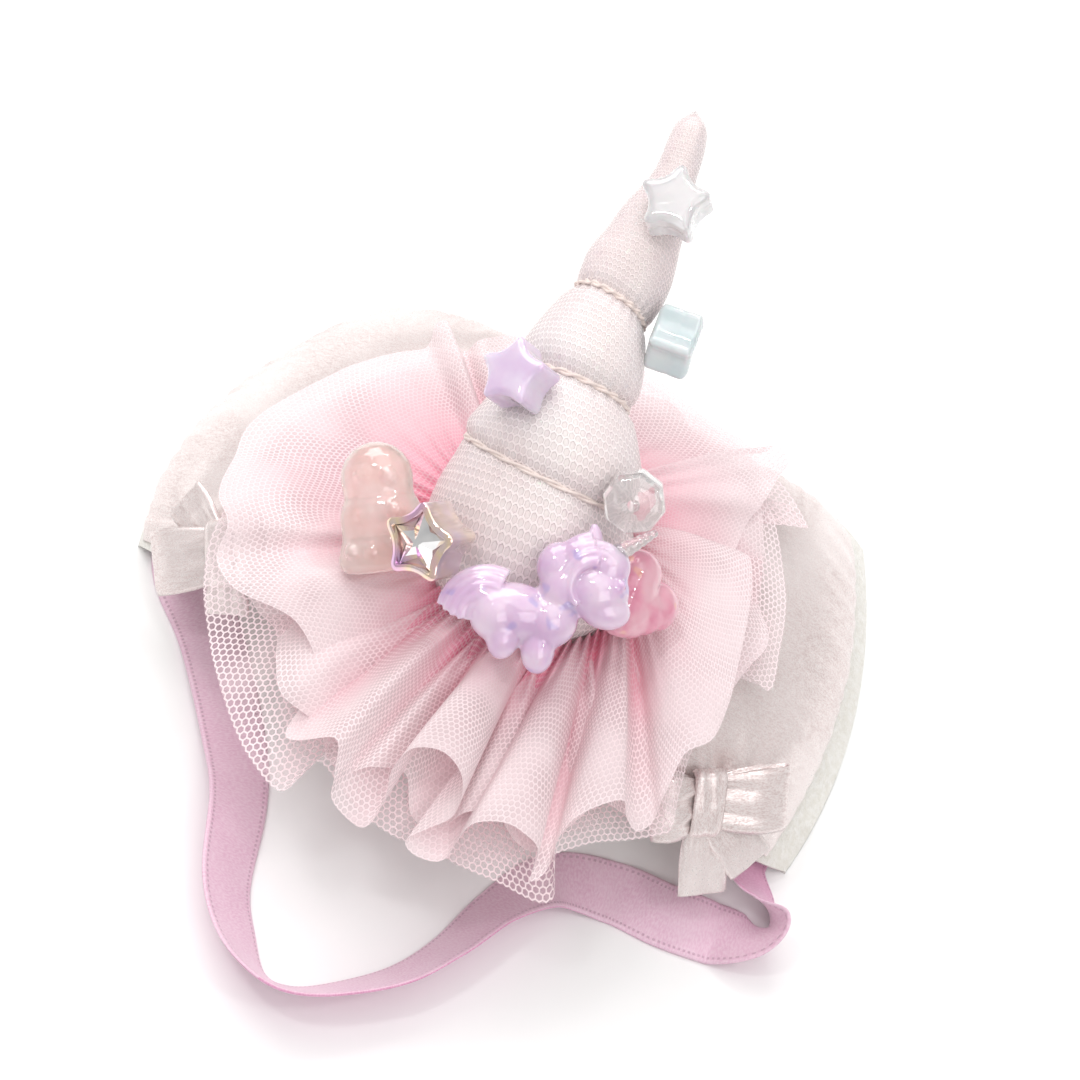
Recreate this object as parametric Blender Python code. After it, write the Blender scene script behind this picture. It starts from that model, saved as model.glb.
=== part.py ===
"""Unicorn horn headpiece for a cat or small dog.

A padded satin saddle with a felt backing arches over the head and rests on its two ends.
A stuffed horn stands in a gathered tulle ruffle on top of it and reclines to the back.
Beads are sewn round the horn, a satin bow sits on each front corner, and a velvet ribbon
chin strap runs from corner to corner and lies on the table in front.
Lengths are in millimetres; X points to the wearer's left and -Y is the front.
"""

import math

import bmesh
import bpy
from mathutils import Matrix, Vector

MM = 0.001
SEAT_GAP = 0.3
FELT_GAP = 0.4

# Where the middle of the whole piece's footprint lies, seen from the drawing's own origin
FOOTPRINT_MIDDLE = Vector((-3.76, -18.33, 0.0))

# Saddle: the felt's inner face is the reference surface
SADDLE_CENTRE_X = -2.5
ARCH_HEIGHT = 27.0
ARCH_SAG_AT_EDGES = 0.10
# half width at mid depth less its bulge, how much the front is wider, bulge of the end
LEFT_END = (52.0, 8.0, 10.5)
RIGHT_END = (51.5, 6.5, 7.0)
FRONT_EDGE_Y = -28.0
BACK_EDGE_Y = 34.0
FRONT_SWEEP = 4.0
BACK_SWEEP_LEFT = 10.0
BACK_SWEEP_RIGHT = 15.0
CORNER_CUT = 0.12
LEFT_STEEPNESS = 3.0
RIGHT_STEEPNESS = 2.2
FELT_THICKNESS = 1.2
PAD_REACH_LEFT = 0.985
PAD_REACH_RIGHT = 0.935
PAD_REACH_BACK = 0.96
PAD_THICKNESS = 6.0
PAD_EDGE_THICKNESS = 2.2
SADDLE_COLUMNS = 20
SADDLE_ROWS = 10

# Horn: its foot stands on the pad
HORN_FOOT = Vector((-1.4, -10.5, 0.0))
HORN_SIDES = 20
# along the centreline, its lean to the back and sway to the right, radius,
# then the lean and sway of the ring's own plane
HORN_SECTIONS = (
    (0.0, 8, -9, 15.0, 8, -9),
    (2.0, 13, -10, 17.0, 16, -9),
    (6.0, 22, -10, 17.7, 30, -6),
    (11.0, 31, -10, 16.8, 44, -2),
    (15.0, 38, -10, 15.3, 52, 0),
    (18.0, 41, -10, 14.4, 54, 0),
    (20.5, 44, -10, 14.8, 57, -1),
    (24.0, 47, -11, 13.8, 62, -5),
    (29.5, 51, -11, 10.9, 66, -6),
    (31.2, 52, -9, 9.3, 67, -5),
    (32.8, 53, -7, 9.1, 67, -4),
    (34.5, 54, -4, 9.7, 68, -2),
    (37.0, 55, 0, 9.6, 70, 0),
    (43.0, 56, -2, 7.8, 73, 3),
    (45.2, 57, -1, 6.5, 74, 5),
    (46.6, 57, -1, 6.4, 74, 5),
    (48.2, 57, 0, 6.9, 74, 5),
    (52.0, 58, 0, 7.0, 74, 4),
    (58.0, 58, 0, 5.9, 72, 2),
    (63.0, 57, 1, 4.7, 70, 1),
    (68.0, 55, -3, 3.5, 66, -3),
    (73.0, 53, -8, 3.0, 60, -8),
    (76.5, 51, -13, 2.4, 54, -13),
    (78.0, 50, -14, 1.2, 50, -14),
)
THREAD_STATIONS = (18.0, 32.2, 46.0)
THREAD_GAP = 0.5
THREAD_RADIUS = 0.45
THREAD_SIDES = 6

# Ruffle: two gathered layers of tulle round the horn's foot
RUFFLE_CENTRE = Vector((-1.8, -9.6, 0.0))
GATHER_RADIUS = 19.4
RUFFLE_WALL = 1.0
RUFFLE_STEPS = 72
RUFFLE_RINGS = 5
FOLDS = 14
# direction round the horn (0 is right, 90 the back), reach of the lower and the upper layer
RUFFLE_REACH = (
    (0, 42.0, 34.0),
    (17, 43.5, 36.0),
    (28, 45.0, 37.0),
    (42, 49.5, 39.0),
    (57, 49.5, 40.0),
    (90, 43.0, 38.0),
    (125, 44.0, 39.0),
    (148, 48.0, 42.0),
    (172, 53.0, 43.0),
    (197, 52.0, 42.0),
    (212, 51.5, 43.0),
    (222, 50.0, 43.0),
    (236, 51.0, 44.0),
    (249, 52.0, 43.0),
    (255, 48.0, 41.0),
    (263, 51.0, 43.0),
    (270, 47.5, 42.0),
    (280, 49.5, 43.0),
    (291, 50.5, 43.0),
    (301, 51.5, 42.0),
    (309, 46.5, 40.0),
    (317, 47.0, 41.0),
    (335, 46.0, 39.0),
    (343, 43.0, 36.0),
)

# where the tulle lies over the left bow and is held up by it
OVER_BOW = Vector((-47.5, -23.0, 0.0))
OVER_BOW_LIFT = 5.0
OVER_BOW_SPREAD = 10.0

# Chin strap: a velvet ribbon that lies on the table in front
STRAP_WIDTH = 11.0
STRAP_THICKNESS = 1.0
# plan position of the ribbon's middle, and the lean of its outer edge away from the loop
STRAP_STATIONS = (
    ("left seam", -60.3, -7.0, 137),
    ("under the left end", -59.6, -14.0, 128),
    ("left corner", -55.2, -21.4, 106),
    ("left run", -45.5, -29.7, 89),
    ("left run", -32.9, -45.0, 76),
    ("left run", -27.2, -54.4, 60),
    ("left run", -22.1, -67.9, 47),
    ("left turn", -16.5, -75.2, 40),
    ("front turn", -10.5, -79.6, 24),
    ("front turn", -4.8, -79.7, 25),
    ("front", 1.5, -76.1, 29),
    ("front", 9.3, -68.9, 34),
    ("front", 14.1, -60.6, 38),
    ("front", 18.1, -50.2, 50),
    ("crest", 23.9, -40.9, 76),
    ("right run", 32.7, -37.5, 90),
    ("right run", 42.4, -37.1, 96),
    ("right run", 50.6, -35.8, 90),
    ("right turn", 56.6, -34.4, 56),
    ("right turn", 58.8, -31.6, 10),
    ("right corner", 55.4, -28.2, -36),
    ("under the right end", 49.8, -22.6, -54),
    ("right seam", 50.4, -12.5, -50),
)
STRAP_STEPS_BETWEEN = 2

# Bows
BOW_HALF_HEIGHT = 5.3
BOW_THICKNESS = 3.2


def metres(point):
    return (Vector(point) - FOOTPRINT_MIDDLE) * MM


def clear_scene():
    for old in list(bpy.data.objects):
        bpy.data.objects.remove(old)


def material(name, colour, roughness, metallic=0.0):
    made = bpy.data.materials.new(name)
    made.use_nodes = True
    shader = made.node_tree.nodes["Principled BSDF"]
    shader.inputs["Base Color"].default_value = (*colour, 1.0)
    shader.inputs["Roughness"].default_value = roughness
    shader.inputs["Metallic"].default_value = metallic
    return made


def finished(name, mesh, finish, smooth_angle=50.0):
    """Recalculate the normals, turn millimetres into metres and link the object."""
    bmesh.ops.remove_doubles(mesh, verts=mesh.verts, dist=0.001)
    bmesh.ops.recalc_face_normals(mesh, faces=mesh.faces)
    for vertex in mesh.verts:
        vertex.co = metres(vertex.co)
    data = bpy.data.meshes.new(name)
    mesh.to_mesh(data)
    mesh.free()
    data.shade_smooth()
    data.set_sharp_from_angle(angle=math.radians(smooth_angle))
    data.materials.append(finish)
    made = bpy.data.objects.new(name, data)
    bpy.context.scene.collection.objects.link(made)
    return made


def loft(mesh, rings, capped=True, closed=False):
    """Skin rings of points with the same count; cap the ends or join the last ring to the first."""
    rows = [[mesh.verts.new(point) for point in ring] for ring in rings]
    count = len(rows[0])
    pairs = list(zip(rows, rows[1:]))
    if closed:
        pairs.append((rows[-1], rows[0]))
    for low, high in pairs:
        for i in range(count):
            j = (i + 1) % count
            mesh.faces.new((low[i], low[j], high[j], high[i]))
    if capped and not closed:
        mesh.faces.new(rows[0])
        mesh.faces.new(rows[-1])


def sheet_solid(name, finish, outer, inner, us, vs, wraps=False):
    """A closed wall between two surfaces of (u, v); wraps joins the last u column to the first."""
    mesh = bmesh.new()
    outside = [[mesh.verts.new(outer(u, v)) for v in vs] for u in us]
    inside = [[mesh.verts.new(inner(u, v)) for v in vs] for u in us]
    columns = len(us)
    steps = range(columns if wraps else columns - 1)
    last = len(vs) - 1
    for i in steps:
        k = (i + 1) % columns
        for j in range(last):
            mesh.faces.new((outside[i][j], outside[k][j], outside[k][j + 1], outside[i][j + 1]))
            mesh.faces.new((inside[i][j], inside[i][j + 1], inside[k][j + 1], inside[k][j]))
        for j in (0, last):
            mesh.faces.new((outside[i][j], inside[i][j], inside[k][j], outside[k][j]))
    if not wraps:
        for i in (0, columns - 1):
            for j in range(last):
                mesh.faces.new((outside[i][j], outside[i][j + 1], inside[i][j + 1], inside[i][j]))
    return finished(name, mesh, finish)


def edge_spaced(count):
    """Stations from -1 to 1 that crowd towards both ends."""
    return [math.sin(math.pi / 2 * (2 * i / count - 1)) for i in range(count + 1)]


def blend(low, high, share):
    return low + (high - low) * share


def smoothstep(value):
    value = min(1.0, max(0.0, value))
    return value * value * (3 - 2 * value)


def from_table(rows, key, column):
    """Read a table whose first column rises, with straight runs between its rows."""
    if key <= rows[0][0]:
        return rows[0][column]
    for low, high in zip(rows, rows[1:]):
        if key <= high[0]:
            return blend(low[column], high[column], (key - low[0]) / (high[0] - low[0]))
    return rows[-1][column]


def arch_half_width(u, v):
    mean, flare, bulge = RIGHT_END if u > 0 else LEFT_END
    return mean - flare * v + bulge * (1 - v * v)


def edge_lines(u):
    back_sweep = BACK_SWEEP_RIGHT if u > 0 else BACK_SWEEP_LEFT
    return FRONT_EDGE_Y + FRONT_SWEEP * u * u, BACK_EDGE_Y + back_sweep * u * u


def arch_drop(u):
    return abs(u) ** (RIGHT_STEEPNESS if u > 0 else LEFT_STEEPNESS)


def saddle_reference(u, v):
    """The felt's inner face: u runs from the left end to the right end, v from front to back."""
    v = v * (1 - CORNER_CUT * abs(u) ** 8)
    front, back = edge_lines(u)
    x = SADDLE_CENTRE_X + u * arch_half_width(u, v)
    y = blend(front, back, (v + 1) / 2)
    z = ARCH_HEIGHT * (1 - ARCH_SAG_AT_EDGES * v * v) * (1 - arch_drop(u))
    return Vector((x, y, z))


def saddle_normal(u, v):
    small = 0.004
    across = saddle_reference(u + small, v) - saddle_reference(u - small, v)
    along = saddle_reference(u, v + small) - saddle_reference(u, v - small)
    return across.cross(along).normalized()


def saddle_point(u, v, lift):
    return saddle_reference(u, v) + saddle_normal(u, v) * lift


def pad_thickness(u, v):
    fullness = math.sqrt(max(0.0, (1 - abs(u) ** 10) * (1 - abs(v) ** 6)))
    return blend(PAD_EDGE_THICKNESS, PAD_THICKNESS, fullness)


def pad_lift(u, v):
    return FELT_THICKNESS + FELT_GAP + pad_thickness(u, v)


def saddle_place(x, y):
    """The saddle's (u, v) under a plan position."""
    u = v = 0.0
    for _ in range(8):
        front, back = edge_lines(u)
        v = 2 * (y - front) / (back - front) - 1
        u = (x - SADDLE_CENTRE_X) / arch_half_width(x - SADDLE_CENTRE_X, max(-1.0, min(1.0, v)))
        u = max(-1.0, min(1.0, u))
    return u, v


def pad_top(x, y):
    """Height of the pad's outer face over a plan position, sloping away past its outline."""
    u, v = saddle_place(x, y)
    inside_v = max(-1.0, min(1.0, v))
    inside_u = max(-0.96, min(0.96, u))
    normal = saddle_normal(inside_u, inside_v * 0.98)
    height = saddle_reference(inside_u, inside_v).z
    height += (FELT_THICKNESS + FELT_GAP + PAD_THICKNESS) / max(0.35, normal.z)
    return height - max(0.0, abs(v) - 1) * 60.0


def make_saddle(satin, felt):
    stations_u = edge_spaced(SADDLE_COLUMNS)
    stations_v = edge_spaced(SADDLE_ROWS)

    def on_pad(u, v, lift):
        reach = PAD_REACH_RIGHT if u > 0 else PAD_REACH_LEFT
        return saddle_point(u * reach, v * PAD_REACH_BACK, lift)

    def floored(point, u):
        """The felt's two end edges are cut level, so the piece rests flat on them."""
        return Vector((point.x, point.y, 0.0)) if abs(u) > 0.999 else point

    sheet_solid(
        "base_pad",
        satin,
        lambda u, v: on_pad(u, v, pad_lift(u, v)),
        lambda u, v: on_pad(u, v, FELT_THICKNESS + FELT_GAP),
        stations_u,
        stations_v,
    )
    sheet_solid(
        "felt_backing",
        felt,
        lambda u, v: floored(saddle_point(u, v, FELT_THICKNESS), u),
        lambda u, v: saddle_point(u, v, 0.0),
        stations_u,
        stations_v,
    )


def lean_direction(lean, sway):
    lean, sway = math.radians(lean), math.radians(sway)
    flat = math.cos(sway)
    return Vector((math.sin(sway), flat * math.sin(lean), flat * math.cos(lean)))


def facing(lean, sway):
    """An axis with its front (towards -Y and up) and its right-hand side."""
    axis = lean_direction(lean, sway)
    side = (Vector((1, 0, 0)) - axis * axis.x).normalized()
    front = side.cross(axis)
    if front.y > 0:
        front.negate()
    return axis, front, side


def horn_centre(along):
    centre = Vector((HORN_FOOT.x, HORN_FOOT.y, pad_top(HORN_FOOT.x, HORN_FOOT.y) + SEAT_GAP))
    steps = 40
    for i in range(steps):
        at = along * (i + 0.5) / steps
        step = lean_direction(from_table(HORN_SECTIONS, at, 1), from_table(HORN_SECTIONS, at, 2))
        centre += step * (along / steps)
    return centre


def ring_round(centre, front, side, radius, sides):
    ring = []
    for i in range(sides):
        angle = 2 * math.pi * i / sides
        ring.append(centre + (front * math.cos(angle) + side * math.sin(angle)) * radius)
    return ring


def make_horn(net):
    mesh = bmesh.new()
    rings = []
    foot_radius = HORN_SECTIONS[0][3]
    for share in (0.04, 0.5):
        rings.append([
            HORN_FOOT + Vector((math.sin(turn), -math.cos(turn), 0)) * foot_radius * share
            for turn in (2 * math.pi * i / HORN_SIDES for i in range(HORN_SIDES))
        ])
    for along, _lean, _sway, radius, ring_lean, ring_sway in HORN_SECTIONS:
        _axis, front, side = facing(ring_lean, ring_sway)
        rings.append(ring_round(horn_centre(along), front, side, radius, HORN_SIDES))
    for number, ring in enumerate(rings):
        for point in ring:
            clear = pad_top(point.x, point.y) + 1.5 * SEAT_GAP + 0.5 * max(0, number - 2)
            point.z = clear if number < 3 else max(point.z, clear)
    loft(mesh, rings)
    return finished("horn", mesh, net)


def make_threads(thread):
    for number, along in enumerate(THREAD_STATIONS, 1):
        columns = [from_table(HORN_SECTIONS, along, column) for column in (3, 4, 5)]
        radius, ring_lean, ring_sway = columns
        axis, front, side = facing(ring_lean, ring_sway)
        centre = horn_centre(along)
        reach = radius + THREAD_GAP + THREAD_RADIUS
        mesh = bmesh.new()
        rings = []
        for i in range(HORN_SIDES):
            angle = 2 * math.pi * i / HORN_SIDES
            out = front * math.cos(angle) + side * math.sin(angle)
            rings.append(ring_round(centre + out * reach, out, axis, THREAD_RADIUS, THREAD_SIDES))
        loft(mesh, rings, closed=True)
        finished(f"horn_thread_{number}", mesh, thread)


def ruffle_reach(angle, column):
    """Reach at a direction in degrees, eased between the table's rows and closed at 360."""
    angle %= 360
    rows = RUFFLE_REACH + ((360,) + RUFFLE_REACH[0][1:],)
    for low, high in zip(rows, rows[1:]):
        if angle <= high[0]:
            share = smoothstep((angle - low[0]) / (high[0] - low[0]))
            return blend(low[column], high[column], share)
    return rows[-1][column]


def ruffle_surface(angle, share, column, lift):
    """A point on a ruffle: it droops round the front and lies on the pad at the back."""
    turn = math.radians(angle)
    reach = blend(GATHER_RADIUS, ruffle_reach(angle, column), share)
    x = RUFFLE_CENTRE.x + reach * math.cos(turn)
    y = RUFFLE_CENTRE.y + reach * math.sin(turn)
    back = max(0.0, math.sin(turn))
    start = pad_top(RUFFLE_CENTRE.x, RUFFLE_CENTRE.y)
    cone = start + 1.0 - blend(0.40, 0.16, back) * (reach - GATHER_RADIUS)
    rest = pad_top(x, y) + 0.4
    over_bow = OVER_BOW_LIFT * math.exp(-(Vector((x, y, 0)) - OVER_BOW).length_squared / OVER_BOW_SPREAD ** 2)
    cone += over_bow
    height = max(cone, rest) + 0.5 * math.exp(-abs(cone - rest) / 2)
    wave = 0.5 + 0.5 * math.sin(FOLDS * turn + 0.8 * math.sin(3 * turn))
    depth = blend(5.0, 3.4, back) * share
    return Vector((x, y, height + lift * blend(1.0, 1.0 + 1.2 * share, 1 - back) + depth * wave))


def make_ruffles(tulle):
    angles = [360 * i / RUFFLE_STEPS for i in range(RUFFLE_STEPS)]
    shares = [i / RUFFLE_RINGS for i in range(RUFFLE_RINGS + 1)]
    wall = Vector((0, 0, RUFFLE_WALL))
    for name, column, lift in (("ruffle_lower", 1, 0.0), ("ruffle_upper", 2, 2.6)):
        sheet_solid(
            name,
            tulle,
            lambda angle, share: ruffle_surface(angle, share, column, lift) + wall,
            lambda angle, share: ruffle_surface(angle, share, column, lift),
            angles,
            shares,
            wraps=True,
        )


def smooth_path(points, steps):
    """Points on a Catmull-Rom curve through the given points; extra columns are eased too."""
    ends = [points[0]] + list(points) + [points[-1]]
    path = []
    for a, b, c, d in zip(ends, ends[1:], ends[2:], ends[3:]):
        for i in range(steps):
            t = i / steps
            path.append([
                0.5 * (2 * q + (r - p) * t + (2 * p - 5 * q + 4 * r - s) * t * t
                       + (3 * q - p - 3 * r + s) * t ** 3)
                for p, q, r, s in zip(a, b, c, d)
            ])
    path.append(list(points[-1]))
    return path


def make_strap(velvet):
    """The ribbon's section is a flat bar; its lowest edge always touches the table."""
    path = smooth_path([row[1:] for row in STRAP_STATIONS], STRAP_STEPS_BETWEEN)
    rings = []
    for i, (x, y, lean) in enumerate(path):
        before = path[max(0, i - 1)]
        after = path[min(len(path) - 1, i + 1)]
        run = Vector((after[0] - before[0], after[1] - before[1], 0)).normalized()
        outwards = Vector((run.y, -run.x, 0))
        lean = math.radians(lean)
        across = Vector((0, 0, math.cos(lean))) + outwards * math.sin(lean)
        through = run.cross(across)
        half, wall = across * STRAP_WIDTH / 2, through * STRAP_THICKNESS / 2
        middle = Vector((x, y, abs(half.z) + abs(wall.z)))
        rings.append([middle - half - wall, middle + half - wall, middle + half + wall, middle - half + wall])
    mesh = bmesh.new()
    loft(mesh, rings)
    return finished("chin_strap", mesh, velvet, 30.0)


def placed(local, centre, x_axis, normal):
    """Turn a local point (x, y in the face, z out of it) into the drawing."""
    normal = normal.normalized()
    x_axis = (x_axis - normal * x_axis.dot(normal)).normalized()
    y_axis = normal.cross(x_axis)
    return centre + x_axis * local[0] + y_axis * local[1] + normal * local[2]


def star_radius(angle, outer, inner, points=5, softness=1.3):
    """Rounded star outline with a tip at angle 0."""
    swing = 0.5 + 0.5 * math.cos(points * angle)
    return inner + (outer - inner) * swing ** softness


def star_ring(outer, inner, scale, height, count, spin):
    ring = []
    for i in range(count):
        angle = 2 * math.pi * i / count
        radius = star_radius(angle, outer, inner) * scale
        ring.append((radius * math.cos(angle + spin), radius * math.sin(angle + spin), height))
    return ring


# scale and height of a puffed solid's rings, as shares of its outline and of its thickness
PUFFED_PROFILE = ((0.62, -0.5), (0.88, -0.44), (1.0, -0.2), (1.0, 0.2), (0.88, 0.44), (0.62, 0.5))


def puffed_rings(outline, thickness, profile=PUFFED_PROFILE):
    return [outline(scale, height * thickness) for scale, height in profile]


def make_bead(name, finish, rings, centre, x_axis, normal, smooth_angle=50.0):
    mesh = bmesh.new()
    loft(mesh, [[placed(p, centre, x_axis, normal) for p in ring] for ring in rings])
    return finished(name, mesh, finish, smooth_angle)


STAR_OUTER = 5.8
STAR_INNER = 3.3
STAR_THICKNESS = 6.2
STAR_POINTS = 30


def horn_seat(along, turn, stand_off, face_turn):
    """A bead's middle on the horn's skin, and where it faces; turn 0 is the front, 90 the right."""
    centre = horn_centre(along)
    axis, front, side = facing(from_table(HORN_SECTIONS, along, 1), from_table(HORN_SECTIONS, along, 2))
    out = front * math.cos(math.radians(turn)) + side * math.sin(math.radians(turn))
    face = front * math.cos(math.radians(face_turn)) + side * math.sin(math.radians(face_turn))
    return centre + out * (from_table(HORN_SECTIONS, along, 3) + stand_off), axis, face


def make_horn_beads(finishes):
    # node, along the horn, turn round it, stand-off, turn of its face, tip of its face, spin
    rows = (
        ("white_star_bead", 63.6, 17, 4.8, -10, 10, 14),
        ("blue_star_bead", 45.6, 82, 4.9, 90, 6, 36),
        ("lilac_star_bead", 31.8, -27, 6.1, -24, 12, 8),
    )
    for name, along, turn, stand_off, face_turn, tip, spin in rows:
        centre, axis, face = horn_seat(along, turn, stand_off, face_turn)
        face += axis * math.tan(math.radians(tip))
        rings = puffed_rings(
            lambda scale, height: star_ring(
                STAR_OUTER, STAR_INNER, scale, height, STAR_POINTS, math.radians(spin)),
            STAR_THICKNESS,
        )
        make_bead(name, finishes[name], rings, centre, axis, face)


RONDELLE_RADIUS = 4.7
RONDELLE_BORE = 0.9
RONDELLE_HALF_LENGTH = 3.8
RONDELLE_FACETS = 8


def make_rondelle(finish):
    """A faceted barrel bead turned round its bore."""
    centre, axis, face = horn_seat(20.8, 49, 5.2, 6)
    profile = (
        (RONDELLE_BORE, -RONDELLE_HALF_LENGTH),
        (0.55 * RONDELLE_RADIUS, -RONDELLE_HALF_LENGTH),
        (0.93 * RONDELLE_RADIUS, -0.45 * RONDELLE_HALF_LENGTH),
        (RONDELLE_RADIUS, 0.0),
        (0.93 * RONDELLE_RADIUS, 0.45 * RONDELLE_HALF_LENGTH),
        (0.55 * RONDELLE_RADIUS, RONDELLE_HALF_LENGTH),
        (RONDELLE_BORE, RONDELLE_HALF_LENGTH),
    )
    mesh = bmesh.new()
    rings = []
    for i in range(RONDELLE_FACETS):
        angle = 2 * math.pi * (i + 0.5) / RONDELLE_FACETS
        rings.append([
            placed((r * math.cos(angle), r * math.sin(angle), h), centre, axis, face)
            for r, h in profile
        ])
    loft(mesh, rings, closed=True)
    return finished("clear_rondelle_bead", mesh, finish, 20.0)


# The beads at the horn's foot lie in one slanting plane: to its right, up it, and out of it
LAY_RIGHT = Vector((0.891, 0.421, 0.173))
LAY_UP = Vector((-0.447, 0.741, 0.501))
LAY_OUT = Vector((0.083, -0.523, 0.848))


def laid(turn, tip_right=0.0, tip_up=0.0):
    """Local x direction turned in the slanting plane, and the face tipped out of it, in degrees."""
    turn = math.radians(turn)
    out = LAY_OUT + LAY_RIGHT * math.tan(math.radians(tip_right)) + LAY_UP * math.tan(math.radians(tip_up))
    return LAY_RIGHT * math.cos(turn) + LAY_UP * math.sin(turn), out


# Middles of the beads at the horn's foot
PEACH_MIDDLE = Vector((-25.0, -20.2, 47.6))
STAR_MIDDLE = Vector((-15.0, -25.3, 54.2))
UNICORN_MIDDLE = Vector((3.9, -25.7, 54.1))
HEART_MIDDLE = Vector((16.6, -15.4, 49.6))


def make_peach_bead(finish):
    """A hollow-looking bubble bead: a tall drop, wider at its foot."""
    # height along the drop, half width, half depth
    sections = (
        (-9.6, 5.0, 2.0), (-8.8, 6.8, 3.2), (-6.6, 7.3, 4.0), (-3.0, 6.7, 4.4), (1.0, 5.9, 4.3),
        (5.0, 5.3, 4.1), (7.8, 4.4, 3.5), (9.4, 2.9, 2.4), (10.1, 1.1, 0.9),
    )
    up, out = laid(97, -10)
    count = 16
    rings = []
    for along, half_width, half_depth in sections:
        rings.append([
            (along, half_width * math.cos(2 * math.pi * i / count),
             half_depth * math.sin(2 * math.pi * i / count))
            for i in range(count)
        ])
    return make_bead("peach_bubble_bead", finish, rings, PEACH_MIDDLE, up, out)


SETTING_OUTER = 6.7
SETTING_INNER = 4.1
SETTING_DEPTH = 6.6
SETTING_RIM = 0.84
RECESS_DEPTH = 1.4
CRYSTAL_OUTER = 5.0
CRYSTAL_INNER = 2.4
CRYSTAL_RISE = 1.5


def make_star_setting(plated, crystal):
    """A plated star with a recess that holds a cut star stone."""
    spin_axis, out = laid(74, -30, -6)
    out.normalize()
    half = SETTING_DEPTH / 2
    profile = (
        (0.70, -half), (0.92, -half + 0.7), (1.0, -half + 1.8), (1.0, half - 1.2), (0.97, half - 0.4),
        (0.90, half), (SETTING_RIM, half - 0.3), (SETTING_RIM - 0.02, half - RECESS_DEPTH),
    )
    rings = [star_ring(SETTING_OUTER, SETTING_INNER, s, h, 40, 0.0) for s, h in profile]
    make_bead("star_setting", plated, rings, STAR_MIDDLE, spin_axis, out)
    seat = STAR_MIDDLE + out * (half - RECESS_DEPTH + SEAT_GAP)
    mesh = bmesh.new()
    corner_rows = []
    for share, height in ((1.0, 0.0), (1.0, 0.4), (0.22, CRYSTAL_RISE)):
        row = []
        for i in range(10):
            angle = math.pi * i / 5
            radius = (CRYSTAL_OUTER if i % 2 == 0 else CRYSTAL_INNER) * share
            row.append(placed((radius * math.cos(angle), radius * math.sin(angle), height),
                              seat, spin_axis, out))
        corner_rows.append(row)
    loft(mesh, corner_rows)
    finished("star_crystal", mesh, crystal, 5.0)


def ellipsoid(mesh, centre, radii, turn=0.0, tilt=0.0):
    """A stretched ball in the charm's own plane; turn is in the plane, in degrees."""
    matrix = (Matrix.Translation(centre) @ Matrix.Rotation(math.radians(turn), 4, "Z")
              @ Matrix.Rotation(math.radians(tilt), 4, "Y") @ Matrix.Diagonal((*radii, 1.0)))
    bmesh.ops.create_uvsphere(mesh, u_segments=20, v_segments=12, radius=1.0, matrix=matrix)


# Charm parts: what it is, middle (x, y, z), radii, turn in the plane
UNICORN_PARTS = (
    ("barrel", (-3.6, -1.8, 0.0), (6.4, 4.4, 3.7), -12),
    ("rump", (-6.6, -2.0, 0.0), (4.2, 4.4, 3.8), 0),
    ("chest", (1.4, -3.0, 0.0), (4.3, 4.3, 3.6), 30),
    ("neck", (3.6, 1.8, 0.2), (3.8, 4.6, 3.4), -20),
    ("head", (8.6, 1.2, 0.5), (4.8, 4.5, 3.7), -10),
    ("muzzle", (9.2, -1.2, 0.5), (4.0, 3.0, 3.0), -14),
    ("brow", (10.2, 4.8, 0.4), (3.4, 3.6, 3.2), 0),
    ("forelock", (6.0, 7.4, 0.7), (4.2, 3.2, 3.0), 10),
    ("mane top", (2.0, 6.0, 0.6), (3.2, 3.8, 3.0), -20),
    ("mane end", (0.4, 2.4, 0.8), (2.6, 3.6, 2.8), -30),
    ("ear", (8.9, 9.6, 0.4), (1.2, 2.0, 1.1), -6),
    ("hind leg", (-5.6, -5.4, 0.6), (2.5, 3.4, 2.5), -8),
    ("fore leg", (-0.4, -7.6, 0.3), (2.5, 3.4, 2.5), -6),
    ("tail crest", (-8.9, 3.6, 1.2), (3.2, 3.2, 2.3), 0),
    ("tail middle", (-11.9, 1.8, 1.3), (3.6, 2.9, 2.3), 40),
    ("tail end", (-14.1, -1.2, 1.3), (2.3, 2.3, 1.9), 40),
)
UNICORN_HORN_FOOT = Vector((11.6, 7.2, 0.6))
UNICORN_HORN_TIP = Vector((17.0, 9.8, 0.6))
UNICORN_VOXEL = 1.25
UNICORN_KEPT_SHARE = 0.5


def make_unicorn(resin):
    """A plump standing unicorn of plain toy shape, fused from balls and a small horn."""
    right, out = laid(0)
    mesh = bmesh.new()
    for _what, centre, radii, turn in UNICORN_PARTS:
        ellipsoid(mesh, Vector(centre), radii, turn)
    spike = UNICORN_HORN_TIP - UNICORN_HORN_FOOT
    matrix = (Matrix.Translation((UNICORN_HORN_FOOT + UNICORN_HORN_TIP) / 2)
              @ spike.to_track_quat("Z", "Y").to_matrix().to_4x4())
    bmesh.ops.create_cone(mesh, cap_ends=True, segments=10, radius1=1.5, radius2=0.7,
                          depth=spike.length, matrix=matrix)
    for vertex in mesh.verts:
        vertex.co = placed(vertex.co, UNICORN_MIDDLE, right, out)
        vertex.co = metres(vertex.co)
    data = bpy.data.meshes.new("unicorn_charm")
    mesh.to_mesh(data)
    mesh.free()
    data.materials.append(resin)
    charm = bpy.data.objects.new("unicorn_charm", data)
    bpy.context.scene.collection.objects.link(charm)
    fuse = charm.modifiers.new("fuse", "REMESH")
    fuse.mode = "VOXEL"
    fuse.voxel_size = UNICORN_VOXEL * MM
    fuse.use_smooth_shade = True
    soften = charm.modifiers.new("soften", "SMOOTH")
    soften.factor = 0.5
    soften.iterations = 3
    thin = charm.modifiers.new("thin", "DECIMATE")
    thin.ratio = UNICORN_KEPT_SHARE
    return charm


HEART_SIZE = 7.2
HEART_THICKNESS = 7.0


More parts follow.
